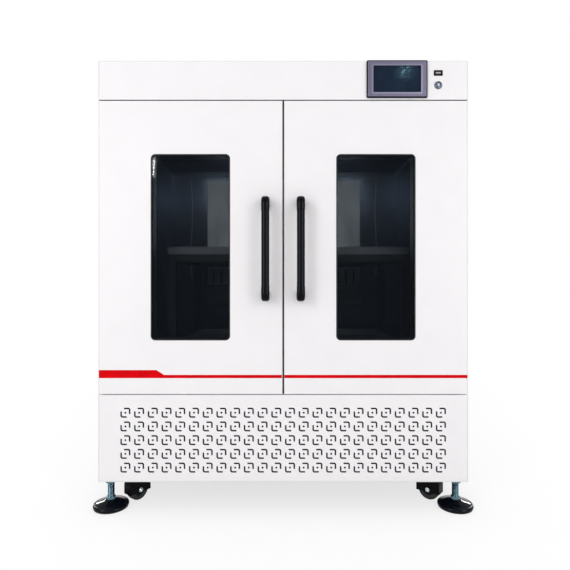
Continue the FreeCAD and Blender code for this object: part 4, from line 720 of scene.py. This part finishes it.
def stick_socket():
    """The data stick's socket: a black flange, its metal shell and the pale tongue."""
    face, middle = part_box("usb_port")[0].y, centre_of("usb_port")
    slot_width, slot_height, depth = 16.4 * MM, 6.6 * MM, 15 * MM
    slot_x, slot_z = about(middle.x, slot_width), about(middle.z, slot_height)
    corner, round_off, wall, back = 1.5 * MM, 0.5 * MM, 1 * MM, HEADER_FRONT + depth

    # The flange is lofted from its outer edge to the slot, ring by ring
    outer = panel_rings(*face_of("usb_port"), corner,
                        [(HEADER_FRONT, 0), (face + round_off, 0), (face, round_off)])
    inner = panel_rings(slot_x, slot_z, round_off,
                        [(face, -0.4 * MM), (face + 0.4 * MM, 0), (back, 0), (back, -wall),
                         (HEADER_FRONT, -wall)])
    flange = ring_piece("stick_socket_flange", outer + inner, BLACK_PLASTIC, "cabinet",
                        "socket_plastic", joined=True)
    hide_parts("usb_port")
    start, outside, inside = face + 0.8 * MM, 0.02 * MM, 0.35 * MM
    sections = [(start, outside), (start, inside), (back, inside), (back, outside)]
    surround("stick_socket_shell", slot_x, slot_z, round_off, sections, NICKEL,
             "cabinet", "socket_plastic")
    tongue_width, tongue, top = 15.2 * MM, 3 * MM, slot_z[1] - 0.6 * MM
    panel("stick_socket_tongue", about(middle.x, tongue_width), (top - tongue, top), 0.3 * MM,
          [(face + 1.1 * MM, 0.2 * MM), (face + 1.3 * MM, 0), (back, 0)],
          TONGUE_PLASTIC, "cabinet", "socket_plastic")
    inset = 0.4 * MM
    panel("stick_socket_floor", slot_x, slot_z, round_off,
          [(back - 0.5 * MM, inset), (back, inset)], BLACK_PLASTIC, "cabinet", "socket_plastic")


def power_button():
    """A polished ring, and the satin cap with a lens ring and a plain on and off mark."""
    low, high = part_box("button_ring")
    x, _, z = centre_of("button_ring")
    proud, radius = HEADER_FRONT - low.y, (high.x - low.x) / 2
    bore, sleeve, length, crown = 9.5 * MM, 11 * MM, 14 * MM, 0.9 * MM
    profile = [(bore, -length), (sleeve, -length), (sleeve, 0), (radius, 0),
               *fillet((radius - crown, proud - crown), crown, 0, 1),
               *fillet((bore + crown / 2, proud - crown / 2), crown / 2, 1, 2)]
    ring = lathe("power_button_ring", profile, facing("front", x, HEADER_FRONT, z), CHROME,
                 "cabinet", "ring_chrome", joined=True)
    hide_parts("button_ring")
    cap_low, cap_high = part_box("power_button")
    cap_radius, length = (cap_high.x - cap_low.x) / 2, cap_high.y - cap_low.y
    edge, on_cap = 0.7 * MM, facing("front", x, cap_low.y, z)
    profile = [(0, -length), (cap_radius, -length),
               *fillet((cap_radius - edge, -edge), edge, 0, 1), (5 * MM, 0.05 * MM), (0, 0.15 * MM)]
    cap = lathe("power_button_cap", profile, on_cap, BUTTON_METAL, "power_button", "button_metal")
    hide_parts("power_button")
    lens_in, lens_out, lens_lift = 5.6 * MM, 8.5 * MM, 0.3 * MM
    profile = [(lens_in, 0), (lens_out, 0), (lens_out, lens_lift / 2),
               (lens_out - lens_lift, lens_lift), (lens_in + lens_lift, lens_lift),
               (lens_in, lens_lift / 2)]
    lathe("power_button_lens", profile, on_cap, BLACK_PLASTIC, "power_button", "button_metal",
          joined=True)

    # The mark is an open circle with a bar in its gap
    mark, stroke, drop, y = 3.4 * MM, 0.5 * MM, 0.4 * MM, cap_low.y - 0.125 * MM
    gap = math.radians(38)
    arc = [Vector((x + mark * math.sin(turn), y, z - drop + mark * math.cos(turn)))
           for turn in spaced(gap, TURN - gap, 37)]
    bar = [Vector((x, y, z + level)) for level in (0.6 * MM, 4.2 * MM)]
    made = bmesh.new()
    for path in (arc, bar):
        add_rings(made, tube_rings(path, stroke, Vector((0, 1, 0)), 12))
    piece_from(made, "power_button_mark", DARK_ANODISED, "power_button")


def header_gap_shade():
    """A dark rubber strip under the header, above the doors, as painted shade in the gap."""
    low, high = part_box("header_panel")
    inset, thickness, start, depth = 1.5 * MM, 0.35 * MM, 0.8 * MM, 14 * MM
    top = low.z + SKIN_LIFT
    # Painted shade: a dark strip where the gap under the header lies in shade.
    panel("header_seam_strip", (low.x + inset, high.x - inset), (low.z - thickness, top), 0.1 * MM,
          [(low.y + start, 0), (low.y + start + depth, 0)], SEAL_RUBBER, "cabinet", "seal_rubber")


# Feet

THREAD_PITCH = 2.5 * MM
THREAD_DEPTH = 1.1 * MM


def threaded_rings(radius, low, high, steps=36, per_turn=8):
    """Rings whose radius follows a helical thread that fades out at both ends."""
    rings = []
    count = round((high - low) / THREAD_PITCH * per_turn)
    for level in spaced(low, high, count + 1):
        near_end = min(level - low, high - level) / THREAD_PITCH
        depth = THREAD_DEPTH * min(1, max(near_end, 0))
        taper = THREAD_DEPTH * max(0, 1 - near_end)
        phases = [(level / THREAD_PITCH - step / steps) % 1 for step in range(steps)]
        rings.append(ring_at(level, [radius - taper - depth * (1 - abs(2 * phase - 1))
                                     for phase in phases]))
    return rings


def foot(end, hand):
    """A levelling foot: lacquered pad, rubber sole, zinc collar and threaded stud."""
    node = f"foot_{end}_{hand}"
    low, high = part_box(node)
    place = Matrix.Translation(((low.x + high.x) / 2, (low.y + high.y) / 2, 0))
    radius = (high.x - low.x) / 2
    rim, neck, neck_height, sole, bulge = 15 * MM, 17 * MM, 28 * MM, 2.5 * MM, 6 * MM
    profile = [(0, sole), (radius - 5 * MM, sole),
               *fillet((radius - 4 * MM, sole + 4 * MM), 4 * MM, 3.2, 4),
               *fillet((radius - bulge, rim - bulge), bulge, 0, 0.72),
               (radius - 7 * MM, rim + 0.6 * MM), (radius - 8 * MM, rim + 0.4 * MM),
               (radius - 9 * MM, rim + 1.2 * MM), (30 * MM, 22.4 * MM), (22 * MM, 26 * MM),
               *fillet((neck - 1.5 * MM, neck_height - 1.5 * MM), 1.5 * MM, 0.4, 1),
               (0, neck_height)]
    pad = lathe(f"{node}_pad", profile, place, PAD_LACQUER, node, "foot_black", 96)
    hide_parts(node)
    profile = [(0, 0), (radius - 3.4 * MM, 0), (radius - 2.2 * MM, 0.8 * MM),
               (radius - 2.2 * MM, sole), (0, sole)]
    lathe(f"{node}_sole", profile, place, TYRE_RUBBER, node, "foot_black", 96)
    collar, collar_top = 14.5 * MM, 37 * MM
    profile = [(0, neck_height - 2 * MM), (collar, neck_height - 2 * MM),
               *fillet((collar - 1 * MM, collar_top - 1 * MM), 1 * MM, 0, 1), (0, collar_top)]
    lathe(f"{node}_collar", profile, place, SHADED_ZINC, node, "foot_black")
    stud = 11 * MM
    rings = threaded_rings(stud, collar_top - 1 * MM, high.z)
    ring_piece(f"{node}_stud", rings, SHADED_ZINC, node, "foot_black", 50, place=place)


def leveling_nuts():
    """Hexagon nuts with a washer face and turned corners, under the frame."""
    low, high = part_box("leveling_nuts")
    flats, bore, washer, washer_radius, steps = 32 * MM, 12 * MM, 2 * MM, 18 * MM, 48
    corner, shoulder = flats / math.sqrt(3), high.z - washer

    def hexagon(level, limit):
        return ring_at(level, [min(flats / 2 / math.cos(lean(step / steps, 6)), limit)
                               for step in range(steps)])

    rings = [*lathe_rings([(bore, low.z), (flats / 2 * 0.96, low.z)], steps),
             hexagon(low.z + 0.3 * MM, flats / 2), hexagon(low.z + 1.6 * MM, corner),
             hexagon(shoulder - 0.8 * MM, corner), hexagon(shoulder, flats / 2),
             *lathe_rings([(washer_radius, shoulder + 0.5 * MM), (washer_radius, high.z),
                           (bore, high.z)], steps)]
    made = bmesh.new()
    for hand in ("left", "right"):
        for end in ("front", "back"):
            x, y, _ = centre_of(f"foot_{end}_{hand}")
            add_rings(made, rings, joined=True, place=Matrix.Translation((x, y, 0)))
    nuts = piece_from(made, "foot_nuts", SHADED_ZINC, "cabinet")
    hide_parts("leveling_nuts")


# Casters

def axle_turn(yaw, side=1):
    """Turns a piece's own Z axis to an axle, towards one of its sides."""
    return Matrix.Rotation(math.radians(yaw), 4, "Z") @ Matrix.Rotation(side * QUARTER, 4, "Y")


def wheel(end, hand, yaw):
    """A transport wheel: rubber tyre on a dished hub with a cap on each side."""
    node = f"caster_wheel_{end}_{hand}"
    low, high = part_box(node)
    rigid_low, rigid_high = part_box(f"caster_wheel_back_{hand}")
    radius, half, round_off = (high.z - low.z) / 2, (rigid_high.x - rigid_low.x) / 2, 4 * MM
    place = Matrix.Translation((low + high) / 2) @ axle_turn(yaw)
    body, hub = f"wheel_{end}_{hand}", radius - 15 * MM
    profile = mirrored([(hub, -half + 1 * MM), (hub + 1 * MM, -half),
                        *fillet((radius - round_off, -half + round_off), round_off, 3, 4),
                        (radius, -2 * MM), (radius - 0.5 * MM, -1.5 * MM)])
    tyre = lathe(f"{node}_tyre", profile, place, TYRE_RUBBER, body, "wheel_plastic", joined=True)
    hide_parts(node)
    bore, boss, dish = 5.1 * MM, 9 * MM, 4 * MM
    profile = mirrored([(bore, -half + 2 * MM), (boss, -half + 2 * MM),
                        (boss + 1 * MM, -half + dish), (hub - 3 * MM, -half + dish + 1 * MM),
                        (hub - 2 * MM, -half + 1.2 * MM), (hub, -half + 1.2 * MM)])
    made = bmesh.new()
    add_rings(made, lathe_rings(profile), joined=True)
    spokes, reach = 6, hub - 2.4 * MM
    size = Matrix.Diagonal((reach - boss, 2.2 * MM, 2.4 * MM, 1))
    for number in range(spokes):
        turn = Matrix.Rotation(TURN * number / spokes, 4, "Z")
        for side in (-1, 1):
            spoke = bmesh.ops.create_cube(made, size=1)["verts"]
            offset = Matrix.Translation(((reach + boss) / 2, 0, side * (half - dish - 0.2 * MM)))
            bmesh.ops.transform(made, matrix=turn @ offset @ size, verts=spoke)
    made.transform(place)
    piece_from(made, f"{node}_hub", WHEEL_PLASTIC, body)


def axle_nuts(end, hand, yaw):
    """A domed nut on each end of an axle, outside the fork."""
    centre = Matrix.Translation(centre_of(f"caster_wheel_{end}_{hand}"))
    fork_half, radius, height = 18 * MM, 7 * MM, 4.5 * MM
    body = f"fork_{hand}" if end == "front" else "cabinet"
    made = bmesh.new()
    profile = [(0, -0.5 * MM), (radius, -0.5 * MM), (radius, height * 0.45),
               *fillet((0, height * 0.3), 5.5 * MM, 0.12, 1, 6)]
    for side in (-1, 1):
        place = centre @ axle_turn(yaw, side) @ Matrix.Translation((0, 0, fork_half))
        add_rings(made, lathe_rings(profile, 24), place=place)
    piece_from(made, f"axle_nuts_{end}_{hand}", HINGE_STEEL, body)


# Rear side

def rear_vent_shade_sheet():
    """A black sheet behind the vent slots of the rear panel, as painted shade inside the cabinet.
    """
    low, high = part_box("rear_panel")
    left, right = high.x - 616 * MM, high.x - 60 * MM
    bottom, top = low.z + 18 * MM, low.z + 146 * MM
    start, thickness = low.y - 0.5 * MM, 0.4 * MM
    panel("rear_vent_shade_sheet", (left, right), (bottom, top), 3 * MM,
          [(start, 0), (start + thickness, 0)], SHADE_SHEET_LOOK, "cabinet", "socket_plastic")


def rear_screws():
    """Screws round the edge of the rear panel."""
    back, inset, columns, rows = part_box("rear_panel")[1].y, 14 * MM, 6, 7
    x_ends, z_ends = face_of("rear_panel", inset)
    spots = [(x, z) for x in spaced(*x_ends, columns) for z in z_ends]
    spots += [(x, z) for z in spaced(*z_ends, rows)[1:-1] for x in x_ends]
    screws("rear_panel_screws", [facing("back", x, back, z) for x, z in spots],
           "cabinet")


def mains_inlet():
    """The recessed inlet with its flange, three pins and two screws."""
    face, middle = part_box("power_inlet")[1].y, centre_of("power_inlet")
    seat, deep, edge = face - 2 * MM, face - 17 * MM, 0.6 * MM
    mouth_width, mouth_height = 26 * MM, 18 * MM
    mouth_x, mouth_z = about(middle.x, mouth_width), about(middle.z, mouth_height)
    outer = panel_rings(*face_of("power_inlet"), 4 * MM,
                        [(seat, 0), (face - edge, 0), (face, edge)])
    inner = panel_rings(mouth_x, mouth_z, 3 * MM,
                        [(face, -4.5 * MM), (face + 1 * MM, -4 * MM), (face + 1 * MM, -1 * MM),
                         (face, 0), (deep, 0), (deep, -1.5 * MM), (seat, -1.5 * MM)])
    body = ring_piece("mains_inlet_body", outer + inner, INLET_PLASTIC, "cabinet",
                      "inlet_plastic", joined=True)
    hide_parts("power_inlet")
    panel("mains_inlet_floor", mouth_x, mouth_z, 3 * MM,
          [(deep - 1 * MM, -1 * MM), (deep, -1 * MM)], INLET_PLASTIC, "cabinet", "inlet_plastic")
    pin_step, pin_lift, pin_width, pin_height = 7 * MM, 3.2 * MM, 2 * MM, 4 * MM
    for number, (step, lift) in enumerate(((-1, 0), (0, 1), (1, 0))):
        panel(f"mains_inlet_pin_{number + 1}", about(middle.x + step * pin_step, pin_width),
              about(middle.z + lift * pin_lift, pin_height), 0.4 * MM,
              [(deep - 0.5 * MM, 0), (deep + 12.4 * MM, 0), (deep + 13 * MM, 0.4 * MM)],
              BRASS, "cabinet", "inlet_plastic")
    screw_span = 54 * MM
    places = [facing("back", x, face, middle.z) for x in about(middle.x, screw_span)]
    screws("mains_inlet_screws", places, "cabinet", radius=2.6 * MM)


# Base

def base_vent_shade_sheet():
    """A black sheet that lies behind the vent holes, as painted shade inside the base."""
    sheet, thickness, inset = 1.55 * MM, 0.4 * MM, 8 * MM
    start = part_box("base_grille")[0].y + sheet
    panel("base_vent_shade_sheet", *face_of("base_grille", inset), 3 * MM,
          [(start, 0), (start + thickness, 0)], SHADE_SHEET_LOOK, "cabinet", "socket_plastic")


# Chamber

def duct_screws():
    """Screws along the upright edges of the duct cover."""
    low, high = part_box("duct_cover")
    inset, start, rows = 10 * MM, low.z + 100 * MM, 5
    places = [facing("front", x, low.y, level) for x in (low.x + inset, high.x - inset)
              for level in spaced(start, high.z - inset, rows)]
    screws("duct_cover_screws", places, "cabinet", radius=4 * MM)


def duct_edging():
    """Steel edging round the front of the duct, broader at its foot."""
    low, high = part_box("duct_cover")
    side, top, foot_strip, lip_height = 18 * MM, 12 * MM, 26 * MM, 69 * MM
    bottom = low.z + lip_height
    face, thickness = low.y - SKIN_LIFT, 0.8 * MM
    outer = (low.x, high.x), (bottom, high.z)
    inner = (low.x + side, high.x - side), (bottom + foot_strip, high.z - top)
    rings = [[(px, y, pz) for px, pz in rounded(*limits, 1 * MM)]
             for limits, y in ((outer, face), (outer, face - thickness), (inner, face - thickness),
                               (inner, face))]
    ring_piece("duct_edging", rings, SHADED_CHAMBER_STEEL, "cabinet", "chamber_steel", joined=True)


def wall_highlight_beads():
    """A pale wavy bead up the back wall on each side of the duct, as a painted highlight standing
    for a bright reflected line.
    """
    duct_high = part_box("duct_cover")[1]
    offset, half, proud, wander, rows = 441 * MM, 1.4 * MM, 2.2 * MM, 4 * MM, 24
    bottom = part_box("upper_tray")[0].z - 60 * MM
    profile = [(-half, 0), (-half, -proud * 0.6), (-half * 0.4, -proud), (half * 0.4, -proud),
               (half, -proud * 0.6), (half, 0)]
    for hand, side in SIDES:
        rings = []
        for row, level in enumerate(spaced(bottom, duct_high.z, rows + 1)):
            x = side * (offset + wander * math.sin(2.2 * math.pi * row / rows))
            rings.append([(x + across, duct_high.y + out, level) for across, out in profile])
        ring_piece(f"back_wall_highlight_bead_{hand}", rings, HIGHLIGHT_BEAD, "cabinet", "chamber_steel")


# Stage

FOCAL_PIXELS = 476
FRAME_PIXELS = 570
SENSOR = 36
CAMERA_DISTANCE = 1544 * MM
CAMERA_HEIGHT = 733 * MM
CAMERA_SIDE = 6 * MM


def camera():
    """The photograph's level view from in front."""
    data = bpy.data.cameras.new("camera")
    data.sensor_width = SENSOR
    data.lens = SENSOR * FOCAL_PIXELS / FRAME_PIXELS
    item = placed("camera", data)
    item.location = (CAMERA_SIDE, HEADER_FRONT - CAMERA_DISTANCE, CAMERA_HEIGHT)
    item.rotation_euler = (QUARTER, 0, 0)
    bpy.context.scene.camera = item


def background_rays(tree):
    """One where a ray comes from the camera or a reflection or through glass, else nought."""
    path = tree.nodes.new("ShaderNodeLightPath")
    total = path.outputs["Is Camera Ray"]
    for ray in ("Is Glossy Ray", "Is Transmission Ray"):
        total = maths(tree, "MAXIMUM", total, path.outputs[ray])
    return total


AMBIENT = 0.765
FLOOR_COLOUR = (0.78, 0.78, 0.785)
FLOOR_SEEN = (0.3, 0.3, 0.302)
FLOOR_GLOW_NEAR = 0.72
FLOOR_GLOW_FAR = 0.79
FLOOR_GLOW_REACH = 5


def world():
    """A white surrounding that lights the object at a plain level."""
    made = bpy.data.worlds.new("studio")
    made.use_nodes = True
    tree = made.node_tree
    strength = tree.nodes.new("ShaderNodeMapRange")
    strength.inputs["To Min"].default_value = AMBIENT
    strength.inputs["To Max"].default_value = 1
    tree.links.new(background_rays(tree), strength.inputs["Value"])
    background = tree.nodes["Background"]
    background.inputs["Color"].default_value = (1, 1, 1, 1)
    tree.links.new(strength.outputs["Result"], background.inputs["Strength"])
    bpy.context.scene.world = made


def floor():
    """A wide pale floor that keeps the object's shadow."""
    reach, drop = 30, 0.2 * MM
    made = bmesh.new()
    bmesh.ops.create_grid(made, x_segments=1, y_segments=1, size=reach)
    mesh = bpy.data.meshes.new("floor")
    made.to_mesh(mesh)
    made.free()
    look = Look("floor", FLOOR_COLOUR, 0.8, Specular_IOR_Level=0.05)
    tree = look.tree
    look.tint(background_rays(tree), 0, FLOOR_SEEN)
    glow = tree.nodes.new("ShaderNodeEmission")
    length = tree.nodes.new("ShaderNodeVectorMath")
    length.operation = "LENGTH"
    tree.links.new(look.place, length.inputs[0])
    far = look.spread(length.outputs["Value"], FLOOR_GLOW_NEAR, FLOOR_GLOW_FAR,
                      (1, FLOOR_GLOW_REACH))
    tree.links.new(maths(tree, "MULTIPLY", background_rays(tree), far), glow.inputs["Strength"])
    both = tree.nodes.new("ShaderNodeAddShader")
    tree.links.new(look.shader.outputs["BSDF"], both.inputs[0])
    tree.links.new(glow.outputs["Emission"], both.inputs[1])
    tree.links.new(both.outputs["Shader"], tree.nodes["Material Output"].inputs["Surface"])
    mesh.materials.append(look.material)
    item = placed("floor", mesh)
    item.location.z = -drop


def softbox(name, place, target, width, height, power):
    """A soft rectangular lamp turned to a target."""
    data = bpy.data.lights.new(name, "AREA")
    data.shape = "RECTANGLE"
    data.size, data.size_y, data.energy = width, height, power
    item = placed(name, data)
    item.location = place
    item.rotation_euler = (Vector(target) - Vector(place)).to_track_quat("-Z", "Y").to_euler()
    return item


def gleam(name, place, target, width, height, radiance):
    """A lamp that shows in gloss alone, of a radiance where the white surrounding has 1."""
    item = softbox(name, place, target, width, height, radiance * math.pi * width * height)
    item.visible_diffuse = False
    item.visible_camera = False
    return item


def studio():
    """The surroundings, the lamps and the camera."""
    world()
    floor()
    aim = (0, 0, 0.8)
    softbox("left_softbox", (-2.1, -3.2, 1.8), aim, 0.9, 2.2, 25)
    softbox("right_softbox", (2.2, -3.1, 1.7), aim, 0.8, 2.0, 16)
    for hand, side in SIDES:
        gleam(f"{hand}_front_gleam", (side * 2.0, -2.0, 1.0), aim, 0.7, 1.6, 10)
        gleam(f"{hand}_back_gleam", (side * 2.5, 1.9, 1.35), (side * 0.57, -0.35, 0),
              0.12, 1.6, 65)
    gleam("window_gleam", (-1.115, -2.88, 1.75), aim, 0.03, 0.2, 170)
    glow = gleam("display_gleam", (1.18, -3.5, 2.83), (0.34, -0.4, 1.4), 0.07, 0.07, 90)
    glow.data.color = (0.4, 0.8, 1)
    chamber_lamp()
    camera()
    bpy.context.scene.view_settings.view_transform = "Standard"


def chamber_lamp():
    """The weak strip light under the chamber's roof."""
    low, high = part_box("inner_liner")
    place = (0, low.y + 60 * MM, high.z - 14 * MM)
    target = (0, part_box("duct_cover")[0].y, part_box("upper_tray")[1].z)
    softbox("chamber_lamp", place, target, 0.9, 0.04, 2.4)


dress_nodes()
for hand in ("left", "right"):
    handle(hand)
    window(hand)
    stripe(hand)
    edge_strip(hand)
    gasket(hand)
    liner_screws(hand)
screen()
stick_socket()
power_button()
header_gap_shade()
for hand, yaw in (("left", 142), ("right", -128)):
    for end, turn in (("front", yaw), ("back", 0)):
        foot(end, hand)
        wheel(end, hand, turn)
        axle_nuts(end, hand, turn)
leveling_nuts()
rear_screws()
rear_vent_shade_sheet()
mains_inlet()
base_vent_shade_sheet()
duct_screws()
duct_edging()
wall_highlight_beads()
studio()
